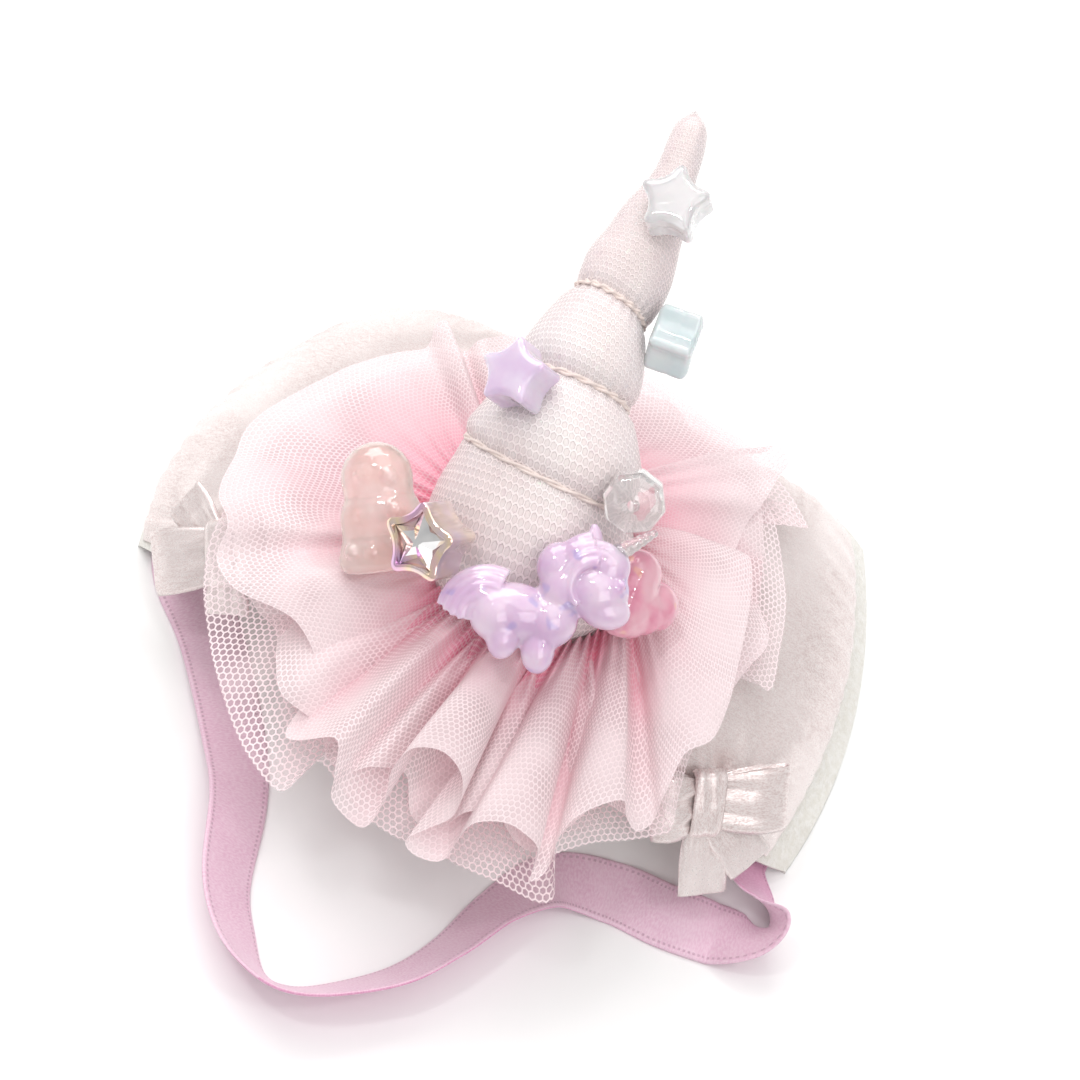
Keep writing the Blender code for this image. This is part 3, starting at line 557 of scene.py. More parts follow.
SADDLE_CENTRE_X = -2.5
ARCH_HEIGHT = 27.0
ARCH_SAG_AT_EDGES = 0.10
LEFT_END = (52.0, 8.0, 10.5)
RIGHT_END = (51.5, 6.5, 7.0)
FRONT_EDGE_Y = -28.0
BACK_EDGE_Y = 34.0
FRONT_SWEEP = 4.0
BACK_SWEEP_LEFT = 10.0
BACK_SWEEP_RIGHT = 15.0
CORNER_CUT = 0.12
LEFT_STEEPNESS = 3.0
RIGHT_STEEPNESS = 2.2
FELT_THICKNESS = 1.2
FELT_GAP = 0.4
PAD_REACH_LEFT = 0.985
PAD_REACH_RIGHT = 0.927
PAD_REACH_BACK = 0.96
PAD_THICKNESS = 6.0


def arch_half_width(u, v):
    mean, flare, bulge = RIGHT_END if u > 0 else LEFT_END
    return mean - flare * v + bulge * (1 - v * v)


def edge_lines(u):
    back_sweep = BACK_SWEEP_RIGHT if u > 0 else BACK_SWEEP_LEFT
    return FRONT_EDGE_Y + FRONT_SWEEP * u * u, BACK_EDGE_Y + back_sweep * u * u


def saddle_reference(u, v):
    v = v * (1 - CORNER_CUT * abs(u) ** 8)
    front, back = edge_lines(u)
    x = SADDLE_CENTRE_X + u * arch_half_width(u, v)
    y = blend(front, back, (v + 1) / 2)
    drop = abs(u) ** (RIGHT_STEEPNESS if u > 0 else LEFT_STEEPNESS)
    return Vector((x, y, ARCH_HEIGHT * (1 - ARCH_SAG_AT_EDGES * v * v) * (1 - drop)))


def saddle_normal(u, v):
    small = 0.004
    across = saddle_reference(u + small, v) - saddle_reference(u - small, v)
    along = saddle_reference(u, v + small) - saddle_reference(u, v - small)
    return across.cross(along).normalized()


def saddle_point(u, v, lift):
    return saddle_reference(u, v) + saddle_normal(u, v) * lift


def saddle_place(x, y):
    u = v = 0.0
    for _ in range(8):
        front, back = edge_lines(u)
        v = 2 * (y - front) / (back - front) - 1
        u = (x - SADDLE_CENTRE_X) / arch_half_width(x - SADDLE_CENTRE_X, max(-1.0, min(1.0, v)))
        u = max(-1.0, min(1.0, u))
    return u, v


def pad_top(x, y):
    u, v = saddle_place(x, y)
    inside_v = max(-1.0, min(1.0, v))
    inside_u = max(-0.96, min(0.96, u))
    normal = saddle_normal(inside_u, inside_v * 0.98)
    height = saddle_reference(inside_u, inside_v).z
    height += (FELT_THICKNESS + FELT_GAP + PAD_THICKNESS) / max(0.35, normal.z)
    return height - max(0.0, abs(v) - 1) * 60.0


def edge_spaced(count):
    return [math.sin(math.pi / 2 * (2 * i / count - 1)) for i in range(count + 1)]


def make_satin_pad(finish):
    """A stuffed satin cushion over the arch: rolled edges, gathered a little where it is sewn."""
    columns, rows = 150, 84
    us, vs = edge_spaced(columns), edge_spaced(rows)

    def puckers(u, v):
        near_end = smoothstep((abs(u) - 0.72) / 0.28)
        near_side = smoothstep((abs(v) - 0.70) / 0.30)
        ripple = 0.30 * near_side * math.sin(64 * u + 5 * noise.noise(Vector((u * 6, v * 3, 0.2))))
        ripple += 0.30 * near_end * math.sin(46 * v + 4 * noise.noise(Vector((u * 4, v * 5, 1.7))))
        swell = 0.55 * noise.noise(Vector((u * 3.1, v * 2.6, 4.4)))
        pulls = 0.0
        for centre_u, centre_v, turn, depth in (
                (0.80, -0.86, 0.9, 1.1), (0.70, -0.95, 1.4, 0.9), (-0.84, -0.9, -0.8, 0.8)):
            du, dv = (u - centre_u) * 60, (v - centre_v) * 34
            far = math.hypot(du, dv)
            angle = math.atan2(dv, du) - turn
            pulls -= depth * math.exp(-(far / 16) ** 2) * (0.5 + 0.5 * math.cos(7 * angle)) * smoothstep(far / 3)
        return ripple + swell + pulls

    def outer(u, v):
        reach = PAD_REACH_RIGHT if u > 0 else PAD_REACH_LEFT
        full = max(0.0, (1 - abs(u) ** (6 if u > 0 else 9))) ** 0.5 * max(0.0, (1 - abs(v) ** 7)) ** 0.5
        lift = FELT_THICKNESS + 0.3 + 5.9 * full + puckers(u, v) * full ** 0.5
        return saddle_point(u * reach, v * PAD_REACH_BACK, lift)

    def inner(u, v):
        reach = PAD_REACH_RIGHT if u > 0 else PAD_REACH_LEFT
        return saddle_point(u * reach * 0.99, v * PAD_REACH_BACK * 0.99, FELT_THICKNESS + 0.12)

    mesh = shell([[metres(outer(u, v)) for v in vs] for u in us], [[metres(inner(u, v)) for v in vs] for u in us])
    count = len(us) * len(vs)

    def cloth_uv(index, _face):
        i, j = divmod(index % count, len(vs))
        return (us[i] * 0.075, vs[j] * 0.036)

    write_uv(mesh, "cloth", cloth_uv)
    pad = joined_object("satin_pad", mesh, [finish])
    belongs(pad, "pearl_satin", "base_pad")


def make_felt(finish):
    """The felt's cut edge shows beyond the satin at the right end."""
    us, vs = edge_spaced(110), edge_spaced(60)

    def fuzz(point):
        return 0.10 * noise.noise(point * 1.3) + 0.05 * noise.noise(point * 4.0)

    def side(u, v, lift):
        point = saddle_point(u, v, lift)
        if abs(u) > 0.999:
            point.z = 0.0
            return point
        return point + saddle_normal(u, v) * fuzz(point) * (1 - abs(u) ** 20)

    mesh = shell(*([[metres(side(u, v, lift)) for v in vs] for u in us] for lift in (FELT_THICKNESS, 0.0)))
    made = joined_object("felt_lining", mesh, [finish])
    belongs(made, "cream_felt", "felt_backing")


# Horn, as in the part's source

HORN_FOOT = Vector((-1.4, -10.5, 0.0))
# Columns: distance along, lean and sway of the way there, radius, lean and sway of the section
HORN_SECTIONS = (
    (0.0, 8, -9, 15.0, 8, -9),
    (2.0, 13, -10, 17.0, 16, -9),
    (6.0, 22, -10, 17.7, 30, -6),
    (11.0, 31, -10, 16.8, 44, -2),
    (15.0, 38, -10, 15.3, 52, 0),
    (18.0, 41, -10, 14.4, 54, 0),
    (20.5, 44, -10, 14.8, 57, -1),
    (24.0, 47, -11, 13.8, 62, -5),
    (29.5, 51, -11, 10.9, 66, -6),
    (31.2, 52, -9, 9.3, 67, -5),
    (32.8, 53, -7, 9.1, 67, -4),
    (34.5, 54, -4, 9.7, 68, -2),
    (37.0, 55, 0, 9.6, 70, 0),
    (43.0, 56, -2, 7.8, 73, 3),
    (45.2, 57, -1, 6.5, 74, 5),
    (46.6, 57, -1, 6.4, 74, 5),
    (48.2, 57, 0, 6.9, 74, 5),
    (52.0, 58, 0, 7.0, 74, 4),
    (58.0, 58, 0, 5.9, 72, 2),
    (63.0, 57, 1, 4.7, 70, 1),
    (68.0, 55, -3, 3.5, 66, -3),
    (73.0, 53, -8, 3.0, 60, -8),
    (76.5, 51, -13, 2.4, 54, -13),
    (78.0, 50, -14, 1.2, 50, -14),
)
THREAD_STATIONS = (18.0, 32.2, 46.0)
HORN_LENGTH = 78.0


def lean_direction(lean, sway):
    lean, sway = math.radians(lean), math.radians(sway)
    flat = math.cos(sway)
    return Vector((math.sin(sway), flat * math.sin(lean), flat * math.cos(lean)))


def facing(lean, sway):
    axis = lean_direction(lean, sway)
    side = (Vector((1, 0, 0)) - axis * axis.x).normalized()
    front = side.cross(axis)
    if front.y > 0:
        front.negate()
    return axis, front, side


def horn_centre(along):
    centre = Vector((HORN_FOOT.x, HORN_FOOT.y, pad_top(HORN_FOOT.x, HORN_FOOT.y) + 0.3))
    steps = 40
    for i in range(steps):
        at = along * (i + 0.5) / steps
        step = lean_direction(from_table(HORN_SECTIONS, at, 1), from_table(HORN_SECTIONS, at, 2))
        centre += step * (along / steps)
    return centre


def horn_rows(stations):
    """Rows of (along, centre, front, side, radius) eased between the table's sections."""
    fine = []
    rows = eased(HORN_SECTIONS, 6)
    for along in stations:
        radius, lean, sway = (from_table(rows, along, column) for column in (3, 4, 5))
        _axis, front, side = facing(lean, sway)
        fine.append((along, horn_centre(along), front, side, radius))
    return fine


def horn_shape(stand_off, sides, stations):
    """Rings of the stuffed horn; the winding threads bite in, with small tucks beside them."""
    rings = []
    for along, centre, front, side, radius in horn_rows(stations):
        ring = []
        for i in range(sides):
            angle = 2 * math.pi * i / sides
            out = front * math.cos(angle) + side * math.sin(angle)
            lump = 0.35 * noise.noise(Vector((math.cos(angle) * 1.6, math.sin(angle) * 1.6, along * 0.16)))
            tuck = 0.0
            for station in THREAD_STATIONS:
                away = abs(along - station)
                tuck += math.exp(-(away / 2.2) ** 2) * 0.22 * math.sin(23 * angle + station)
                tuck -= 0.35 * math.exp(-(away / 0.7) ** 2)
            point = centre + out * (radius + stand_off + lump + tuck)
            if along < 16:
                point.z = max(point.z, pad_top(point.x, point.y) + 0.5)
            ring.append(metres(point))
        rings.append(ring)
    return rings


def cone_uv(along, angle):
    """Flat cloth position on the unrolled cone, with cells that get smaller towards the tip."""
    tip = max(0.5, 84.0 - along)
    spread = 0.215
    far = tip ** 0.72 * 84.0 ** 0.28 * 0.98
    turn = 0.80 * angle * spread
    return (far * math.sin(turn) * MM, far * math.cos(turn) * MM)


def make_horn(film, netting):
    sides = 120
    stations = [0.6 + 77.2 * i / 170 for i in range(171)]
    for name, finish, stand_off in (("horn_stuffing", film, -0.35), ("horn_net", netting, 0.0)):
        rings = horn_shape(stand_off, sides, stations)
        mesh = grid_mesh(rings, wraps_v=True)
        mesh.verts.ensure_lookup_table()
        top = [mesh.verts[(len(rings) - 1) * sides + i] for i in range(sides)]
        low = [mesh.verts[i] for i in range(sides)]
        tip = mesh.verts.new(metres(horn_centre(HORN_LENGTH) + lean_direction(50, -14) * (1.0 + stand_off)))
        foot = mesh.verts.new(sum((v.co for v in low), Vector()) / sides)
        mesh.verts.index_update()
        for i in range(sides):
            j = (i + 1) % sides
            mesh.faces.new((top[i], top[j], tip))
            mesh.faces.new((low[j], low[i], foot))
        bmesh.ops.recalc_face_normals(mesh, faces=mesh.faces)

        def net_uv(index, face):
            if index >= len(rings) * sides:
                return cone_uv(78.5 if index == len(rings) * sides else 0.0, 0.0)
            i, j = divmod(index, sides)
            columns = [loop.vert.index % sides for loop in face.loops if loop.vert.index < len(rings) * sides]
            if max(columns) - min(columns) > sides / 2 and j > sides / 2:
                j -= sides
            angle = 2 * math.pi * j / sides
            if angle > math.pi + 0.01 or (min(columns) >= sides / 2):
                angle -= 2 * math.pi
            return cone_uv(stations[i], angle)

        write_uv(mesh, "cloth", net_uv)
        made = joined_object(name, mesh, [finish])
        if name == "horn_net":
            belongs(made, "white_net", "horn")
        else:
            belongs(made, "white_net")


def make_windings(finish):
    """Each winding is two twisted strands that bite into the net."""
    for number, station in enumerate(THREAD_STATIONS, 1):
        (_along, centre, front, side, radius), = horn_rows([station])
        axis = front.cross(side).normalized()
        mesh = bmesh.new()
        for strand in range(2):
            rings = []
            count = 220
            for i in range(count):
                angle = 2 * math.pi * i / count
                out = front * math.cos(angle) + side * math.sin(angle)
                twist = 9 * angle + math.pi * strand
                lump = 0.35 * noise.noise(Vector((math.cos(angle) * 1.6, math.sin(angle) * 1.6, station * 0.16)))
                lump += 0.22 * math.sin(23 * angle + station) - 0.35
                reach = radius + lump + 0.22 + 0.16 * math.cos(twist)
                middle = centre + out * reach + axis * (0.24 * math.sin(twist))
                ring = [metres(middle + (out * math.cos(a) + axis * math.sin(a)) * 0.26)
                        for a in (2 * math.pi * k / 8 for k in range(8))]
                rings.append(ring)
            part = grid_mesh(rings, wraps_u=True, wraps_v=True)
            data = bpy.data.meshes.new("strand")
            part.to_mesh(data)
            part.free()
            mesh.from_mesh(data)
            bpy.data.meshes.remove(data)
        bmesh.ops.recalc_face_normals(mesh, faces=mesh.faces)
        made = joined_object(f"winding_{number}", mesh, [finish])
        belongs(made, "cream_thread", f"horn_thread_{number}")


# Tulle: the rim of each gathered strip, going round the horn from the left.
# Columns: direction in degrees, distance from the middle of the ruffle, height over its cone.

RUFFLE_CENTRE = Vector((-1.8, -9.6, 0.0))
GATHER_RADIUS = 16.6

TOP_RIM = (
    (203, 48.2, 4.0), (208, 49.4, 3.0), (217, 46.0, 6.0), (226, 39.2, 5.0), (238, 38.9, 1.0),
    (244, 47.1, -0.5), (253, 44.3, 6.0), (257, 47.3, 3.5), (259, 49.3, 1.0), (265, 49.6, -1.0),
    (267, 47.9, -0.5), (267, 44.9, 3.0), (266, 42.8, 6.0), (268, 40.2, 9.0), (274, 38.8, 9.0),
    (280, 40.5, 7.0), (281, 44.0, 3.5), (277, 46.4, 1.0), (274, 48.6, 0.0), (276, 49.7, -1.0),
    (280, 49.8, -1.0), (282, 48.8, 0.0), (283, 46.9, 2.5), (285, 45.3, 5.0), (291, 44.8, 6.0),
    (295, 45.8, 5.0), (298, 47.1, 2.5), (297, 50.4, 0.5), (300, 48.9, 0.5), (302, 45.2, 2.5),
    (305, 43.3, 5.0), (310, 42.6, 6.5), (315, 42.6, 6.0), (316, 43.8, 3.0), (318, 45.5, 1.0),
    (322, 45.1, 1.0), (325, 43.1, 3.5), (332, 39.9, 6.0), (339, 40.7, 7.5), (347, 38.9, 8.0),
    (357, 36.5, 8.0), (9, 35.1, 7.0), (29, 34.7, 5.5), (30, 32.4, 1.5), (41, 36.4, 1.5),
    (45, 39.9, 4.0), (50, 44.5, 4.0), (53, 48.1, 5.0), (57, 47.8, 5.5), (58, 45.8, 3.0),
    (63, 44.6, 2.0), (72, 41.3, 3.0), (83, 41.0, 3.5), (92, 42.2, 3.0), (102, 43.1, 2.0),
    (112, 43.3, 3.0), (121, 43.6, 2.0), (128, 41.5, 4.0), (131, 41.2, 1.0), (133, 42.4, 4.0),
    (134, 45.5, 6.0), (136, 46.0, 5.0), (139, 43.6, 2.0), (145, 45.3, 1.5), (150, 46.4, 2.0),
    (159, 47.7, 2.0), (169, 50.8, 2.0), (177, 52.2, 2.0), (185, 50.8, 2.0), (196, 50.5, 3.0),
)
MIDDLE_RIM = (
    (205, 42.0, 4.0), (214, 44.0, 1.0), (222, 41.0, 0.0), (230, 43.0, 3.0), (238, 45.0, 4.0),
    (246, 42.0, 0.0), (252, 44.0, -1.0), (258, 45.0, 3.0), (262, 43.0, 5.0), (268, 40.0, 1.0),
    (273, 44.0, -1.0), (279, 45.0, 1.0), (283, 43.0, 4.0), (289, 42.0, 4.0), (294, 44.0, 0.0),
    (299, 45.0, -1.0), (305, 43.0, 3.0), (311, 41.0, 5.0), (317, 42.0, 1.0), (322, 43.0, -1.0),
    (329, 41.0, 3.0), (337, 38.0, 5.0), (345, 37.0, 2.0), (353, 37.0, 0.0), (3, 38.0, 3.0),
    (12, 40.0, 4.0), (22, 38.0, 1.0), (30, 39.0, 0.0), (40, 40.0, 3.0), (50, 41.0, 4.0),
    (60, 41.0, 1.0), (70, 40.0, 0.0), (80, 40.0, 3.0), (92, 39.0, 1.0), (104, 40.0, 3.0),
    (116, 40.0, 1.0), (128, 40.0, 3.0), (138, 42.0, 0.0), (150, 43.0, 2.0), (160, 44.0, 0.0),
    (172, 45.0, 2.0), (184, 45.0, 0.0), (195, 44.0, 2.0),
)
LOW_RIM = (
    (211, 51.1, 2.0), (218, 50.8, 1.0), (226, 51.2, 1.5), (236, 51.8, 0.5), (243, 52.3, 0.0),
    (250, 51.7, -0.5), (251, 47.6, 0.5), (252, 45.3, 1.0), (260, 46.1, 0.0), (266, 46.9, -1.0),
    (273, 47.0, -1.0), (277, 46.6, -1.0), (282, 47.5, -1.0), (292, 49.4, -1.0), (299, 51.7, -1.0),
    (302, 51.3, -0.5), (302, 48.9, 1.5), (302, 46.2, 1.5), (306, 45.0, 0.5), (314, 44.6, 0.0),
    (325, 46.2, 0.0), (327, 46.0, 1.0), (332, 42.1, 1.0), (339, 38.7, 1.0), (347, 37.5, 1.0),
    (1, 36.1, 1.5), (4, 40.2, 2.0), (5, 43.1, 2.0), (14, 42.7, 2.0), (25, 42.9, 2.5), (37, 43.0, 3.0),
    (45, 43.4, 3.0), (48, 43.2, 3.5), (50, 45.6, 1.5), (48, 48.7, 1.0), (43, 50.3, 1.0),
    (50, 49.8, 1.0), (59, 47.3, 1.0), (67, 45.8, 0.5), (77, 43.3, 0.5), (91, 44.6, 0.5),
    (106, 43.6, 0.5), (118, 44.6, 0.5), (127, 42.7, 0.5), (133, 45.8, 0.0), (143, 44.8, 0.0),
    (155, 46.1, 0.0), (166, 48.7, 0.0), (178, 49.7, 0.5), (194, 49.1, 1.0), (202, 50.6, 1.0),
)
OVER_BOW = Vector((-47.5, -23.0, 0.0))


def cone_height(x, y, reach):
    direction = math.atan2(y - RUFFLE_CENTRE.y, x - RUFFLE_CENTRE.x)
    back = max(0.0, math.sin(direction))
    start = pad_top(RUFFLE_CENTRE.x, RUFFLE_CENTRE.y) + 1.0
    height = start - blend(0.40, 0.16, back) * (reach - 19.4)
    return height + 6.5 * math.exp(-(Vector((x, y, 0)) - OVER_BOW).length_squared / 130.0)


def make_tulle(name, rim_table, finish, layer_lift, pleats, seed, *nodes):
    """A gathered strip of net: fine pleats at the gathers open into the folds of its rim."""
    whole = []
    turns = 0
    for i, row in enumerate(rim_table):
        if i and row[0] < rim_table[i - 1][0] - 180:
            turns = 360
        whole.append((row[0] + turns, *row[1:]))
    before = [(row[0] - 360, *row[1:]) for row in whole[-2:]]
    after = [(row[0] + 360, *row[1:]) for row in whole[:3]]
    steps = 12
    rim = eased(before + whole + after, steps)[2 * steps:(2 + len(whole)) * steps]
    count = len(rim)
    flat_rim = [Vector((reach * math.cos(math.radians(turn)), reach * math.sin(math.radians(turn)), lift))
                for turn, reach, lift in rim]
    runs = [0.0]
    for i in range(count):
        runs.append(runs[-1] + (flat_rim[(i + 1) % count] - flat_rim[i]).length)
    radial = 44
    grid = []
    for i, (direction, reach, lift) in enumerate(rim):
        share = runs[i] / runs[-1]
        fine = noise.noise(Vector((share * 40, seed, 0.0)))
        gathered = math.radians(whole[0][0] + 360 * share)
        from_gather = Vector((math.cos(gathered), math.sin(gathered))) * GATHER_RADIUS
        at_rim = Vector((math.cos(math.radians(direction)), math.sin(math.radians(direction)))) * reach
        column = []
        for j in range(radial + 1):
            t = j / radial
            pleat = math.sin(2 * math.pi * pleats * share + 2.2 * fine) * math.exp(-4.5 * t)
            pleat += 0.30 * math.sin(2 * math.pi * round(pleats * 0.43) * share + seed) * math.exp(-1.8 * t) * t * 2
            spot = from_gather.lerp(at_rim, t)
            x, y = RUFFLE_CENTRE.x + spot.x, RUFFLE_CENTRE.y + spot.y
            far = spot.length
            arch = 4 * t * (1 - t)
            ripple = noise.noise(Vector((x * 0.16, y * 0.16, seed * 3.1)))
            height = cone_height(x, y, far) + layer_lift + lift * t ** 0.9 + (0.35 * lift + 0.3) * arch
            height += 0.9 * pleat + 0.8 * ripple * t
            rest = pad_top(x, y) + 0.7 + 0.35 * layer_lift + 0.3 * max(0.0, lift) * arch
            column.append(Vector((x, y, max(height, rest))))
        grid.append(column)
    spans = [0.0]
    for i in range(count):
        here, there = grid[i], grid[(i + 1) % count]
        spans.append(spans[-1] + sum((there[j] - here[j]).length for j in (32, 38, 44)) / 3)
    widths = [0.0]
    for j in range(radial):
        widths.append(widths[-1] + sum((column[j + 1] - column[j]).length for column in grid[::9]) / len(grid[::9]))
    mesh = grid_mesh([[metres(p) for p in column] for column in grid], wraps_u=True)
    columns = radial + 1
    area = sum(face.calc_area() for face in mesh.faces)

    def uv(index, face):
        i, j = divmod(index, columns)
        rows = [loop.vert.index // columns for loop in face.loops]
        if i == 0 and max(rows) == count - 1:
            return (spans[-1] * MM, widths[j] * MM)
        return (spans[i] * MM, widths[j] * MM)

    def gather_uv(index, _face):
        row, column = divmod(index, columns)
        return (column / radial, min(1.0, max(0.0, (rim[row][2] + 1.0) / 7.0)))

    write_uv(mesh, "cloth", uv)
    write_uv(mesh, "gather", gather_uv)
    made = joined_object(name, mesh, [finish])
    belongs(made, "pink_tulle", *nodes)


# Chin strap, as in the part's source

STRAP_WIDTH = 11.0
# Columns: place on the way, x, y, lean of the outer edge in degrees
STRAP_STATIONS = (
    ("left seam", -60.3, -7.0, 137),
    ("under the left end", -59.6, -14.0, 128),
    ("left corner", -55.2, -21.4, 106),
    ("left run", -45.5, -29.7, 89),
    ("left run", -32.9, -45.0, 76),
    ("left run", -27.2, -54.4, 60),
    ("left run", -22.1, -67.9, 47),
    ("left turn", -16.5, -75.2, 40),
    ("front turn", -10.5, -79.6, 24),
    ("front turn", -4.8, -79.7, 25),
    ("front", 1.5, -76.1, 29),
    ("front", 9.3, -68.9, 34),
    ("front", 14.1, -60.6, 38),
    ("front", 18.1, -50.2, 50),
    ("crest", 23.9, -40.9, 76),
    ("right run", 32.7, -37.5, 90),
    ("right run", 42.4, -37.1, 96),
    ("right run", 50.6, -35.8, 90),
    ("right turn", 56.6, -34.4, 56),
    ("right turn", 58.8, -31.6, 10),
    ("right corner", 55.4, -28.2, -36),
    ("under the right end", 49.8, -22.6, -54),
    ("right seam", 50.4, -12.5, -50),
)


def make_strap(inside, outside):
    """Velvet ribbon, mauve inside the loop and pale outside, with rolled and stitched edges."""
    path = eased([row[1:] for row in STRAP_STATIONS], 14)
    profile = []
    half_points = 9
    for i in range(half_points + 1):
        across = -1 + 2 * i / half_points
        swell = 0.26 + 0.16 * math.exp(-((abs(across) - 0.95) / 0.07) ** 2)
        swell -= 0.07 * math.exp(-((abs(across) - 0.83) / 0.05) ** 2)
        profile.append((across, swell))
    stations = []
    run = 0.0
    for i, (x, y, lean) in enumerate(path):
        before, after = path[max(0, i - 1)], path[min(len(path) - 1, i + 1)]
        way = Vector((after[0] - before[0], after[1] - before[1], 0)).normalized()
        outwards = Vector((way.y, -way.x, 0))
        lean = math.radians(lean)
        up = Vector((0, 0, math.cos(lean))) + outwards * math.sin(lean)
        through = way.cross(up)
        if i:
            run += math.hypot(x - path[i - 1][0], y - path[i - 1][1])
        middle = Vector((x, y, abs(up.z) * STRAP_WIDTH / 2 + abs(through.z) * 0.45))
        ring = []
        fine = [-1 + 2 * k / 24 for k in range(25)]
        places = fine + fine[::-1]
        for k, across in enumerate(places):
            sign = 1 if k < 25 else -1
            swell = from_table(profile, across, 1)
            if abs(across) > 0.999:
                swell *= 0.35
            wave = 0.10 * noise.noise(Vector((run * 0.10, across * 0.8, 0.3)))
            point = middle + up * across * STRAP_WIDTH / 2 + through * (sign * swell + wave)
            point.z = max(point.z, 0.02)
            ring.append(metres(point))
        stations.append((run, ring))
    rings = [ring for _run, ring in stations]
    mesh = grid_mesh(rings, wraps_v=True)
    count = len(rings[0])
    mesh.verts.ensure_lookup_table()
    for end, order in ((0, 1), (len(rings) - 1, -1)):
        loop = [mesh.verts[end * count + k] for k in range(count)]
        for k in range(24):
            a, b = k, k + 1
            c, d = count - 2 - k, count - 1 - k
            corners = [loop[a], loop[b], loop[c], loop[d]]
            mesh.faces.new(corners[::order])
    bmesh.ops.remove_doubles(mesh, verts=mesh.verts, dist=1e-7)
    bmesh.ops.recalc_face_normals(mesh, faces=mesh.faces)
    mesh.verts.index_update()
    layer = mesh.loops.layers.uv.new("cloth")
    mesh.faces.ensure_lookup_table()
    nearest = {}
    for i, (run, ring) in enumerate(stations):
        for k, point in enumerate(ring):
            across = (-1 + 2 * k / 24) if k < 25 else (-1 + 2 * (49 - k) / 24)
            nearest[tuple(round(c, 7) for c in point)] = (run * MM, across * STRAP_WIDTH / 2 * MM, i)
    for face in mesh.faces:
        found = []
        for loop in face.loops:
            key = tuple(round(c, 7) for c in loop.vert.co)
            value = nearest[key]
            loop[layer].uv = value[:2]
            found.append(value[2])
        i = min(found)
        x, y, lean = path[i]
        before, after = path[max(0, i - 1)], path[min(len(path) - 1, i + 1)]
        way = Vector((after[0] - before[0], after[1] - before[1], 0)).normalized()
        lean = math.radians(lean)
        up = Vector((0, 0, math.cos(lean))) + Vector((way.y, -way.x, 0)) * math.sin(lean)
        face.material_index = 0 if face.normal.dot(way.cross(up)) > 0 else 1
    made = joined_object("ribbon_strap", mesh, [inside, outside])
    belongs(made, "mauve_velvet", "chin_strap")


# Beads and charms, modelled in millimetres about the origin and then seated in the drawing

PEACH_MIDDLE = Vector((-25.0, -20.2, 47.6))
STAR_MIDDLE = Vector((-15.0, -25.3, 54.2))
UNICORN_MIDDLE = Vector((3.9, -25.7, 54.1))
HEART_MIDDLE = Vector((16.6, -15.4, 49.6))


def laid(turn, tip_right=0.0, tip_up=0.0):
    turn = math.radians(turn)
    out = VIEW_BACK + VIEW_RIGHT * math.tan(math.radians(tip_right)) + VIEW_UP * math.tan(math.radians(tip_up))
    return VIEW_RIGHT * math.cos(turn) + VIEW_UP * math.sin(turn), out


def horn_seat(along, turn, stand_off, face_turn):
    """A bead's middle on the horn's skin, and where it faces; turn 0 is the front, 90 the right."""
    axis, front, side = facing(from_table(HORN_SECTIONS, along, 1), from_table(HORN_SECTIONS, along, 2))
    out = front * math.cos(math.radians(turn)) + side * math.sin(math.radians(turn))
    face = front * math.cos(math.radians(face_turn)) + side * math.sin(math.radians(face_turn))
    return horn_centre(along) + out * (from_table(HORN_SECTIONS, along, 3) + stand_off), axis, face


def nothing_selected():
    if bpy.context.object and bpy.context.object.mode != "OBJECT":
        bpy.ops.object.mode_set(mode="OBJECT")
    bpy.ops.object.select_all(action="DESELECT")


def edit(piece, kind="VERT"):
    bpy.context.view_layer.objects.active = piece
    bpy.ops.object.mode_set(mode="EDIT")
    bpy.ops.mesh.select_mode(type=kind)
    bpy.ops.mesh.select_all(action="DESELECT")


def pick(piece, test, kind="verts"):
    """Select the vertices, edges or faces that pass the test, and nothing else."""
    mesh = bmesh.from_edit_mesh(piece.data)
    for part in getattr(mesh, kind):
        part.select = test(part)
    mesh.select_flush_mode()
    bmesh.update_edit_mesh(piece.data)


def finish_with(piece, kind, **settings):
    modifier = piece.modifiers.new(kind.lower(), kind)
    for name, value in settings.items():
        setattr(modifier, name, value)
    bpy.context.view_layer.objects.active = piece
    bpy.ops.object.modifier_apply(modifier=modifier.name)


def fused(parts):
    """Join pieces into one, unturned and unscaled."""
    nothing_selected()
    for part in parts:
        part.select_set(True)
    bpy.context.view_layer.objects.active = parts[0]
    bpy.ops.object.join()
    bpy.ops.object.transform_apply(location=True, rotation=True, scale=True)
    return bpy.context.object


def cast(piece, grain, passes):
    """Fuse what touches into one skin and soften it, as resin comes out of a mould."""
    finish_with(piece, "REMESH", mode="VOXEL", voxel_size=grain)
    finish_with(piece, "SMOOTH", factor=0.5, iterations=passes)


def seat(piece, name, node, slot, finishes, centre, x_axis, normal, smooth_angle=180.0):
    """Take a piece modelled in millimetres to its place, with its own finish."""
    normal = normal.normalized()
    x_axis = (x_axis - normal * x_axis.dot(normal)).normalized()
    turn = Matrix((x_axis, normal.cross(x_axis), normal)).transposed().to_4x4()
    nothing_selected()
    piece.select_set(True)
    bpy.context.view_layer.objects.active = piece
    piece.matrix_world = Matrix.Translation(metres(centre)) @ turn @ Matrix.Scale(MM, 4)
    bpy.ops.object.transform_apply(location=True, rotation=True, scale=True)
    if smooth_angle >= 180:
        bpy.ops.object.shade_smooth()
    else:
        bpy.ops.object.shade_smooth_by_angle(angle=math.radians(smooth_angle))
    piece.name = piece.data.name = name
    chosen = [face.material_index for face in piece.data.polygons]
    piece.data.materials.clear()
    for finish in finishes:
        piece.data.materials.append(finish)
    for face, index in zip(piece.data.polygons, chosen):
        face.material_index = min(index, len(finishes) - 1)
    belongs(piece, slot, node)


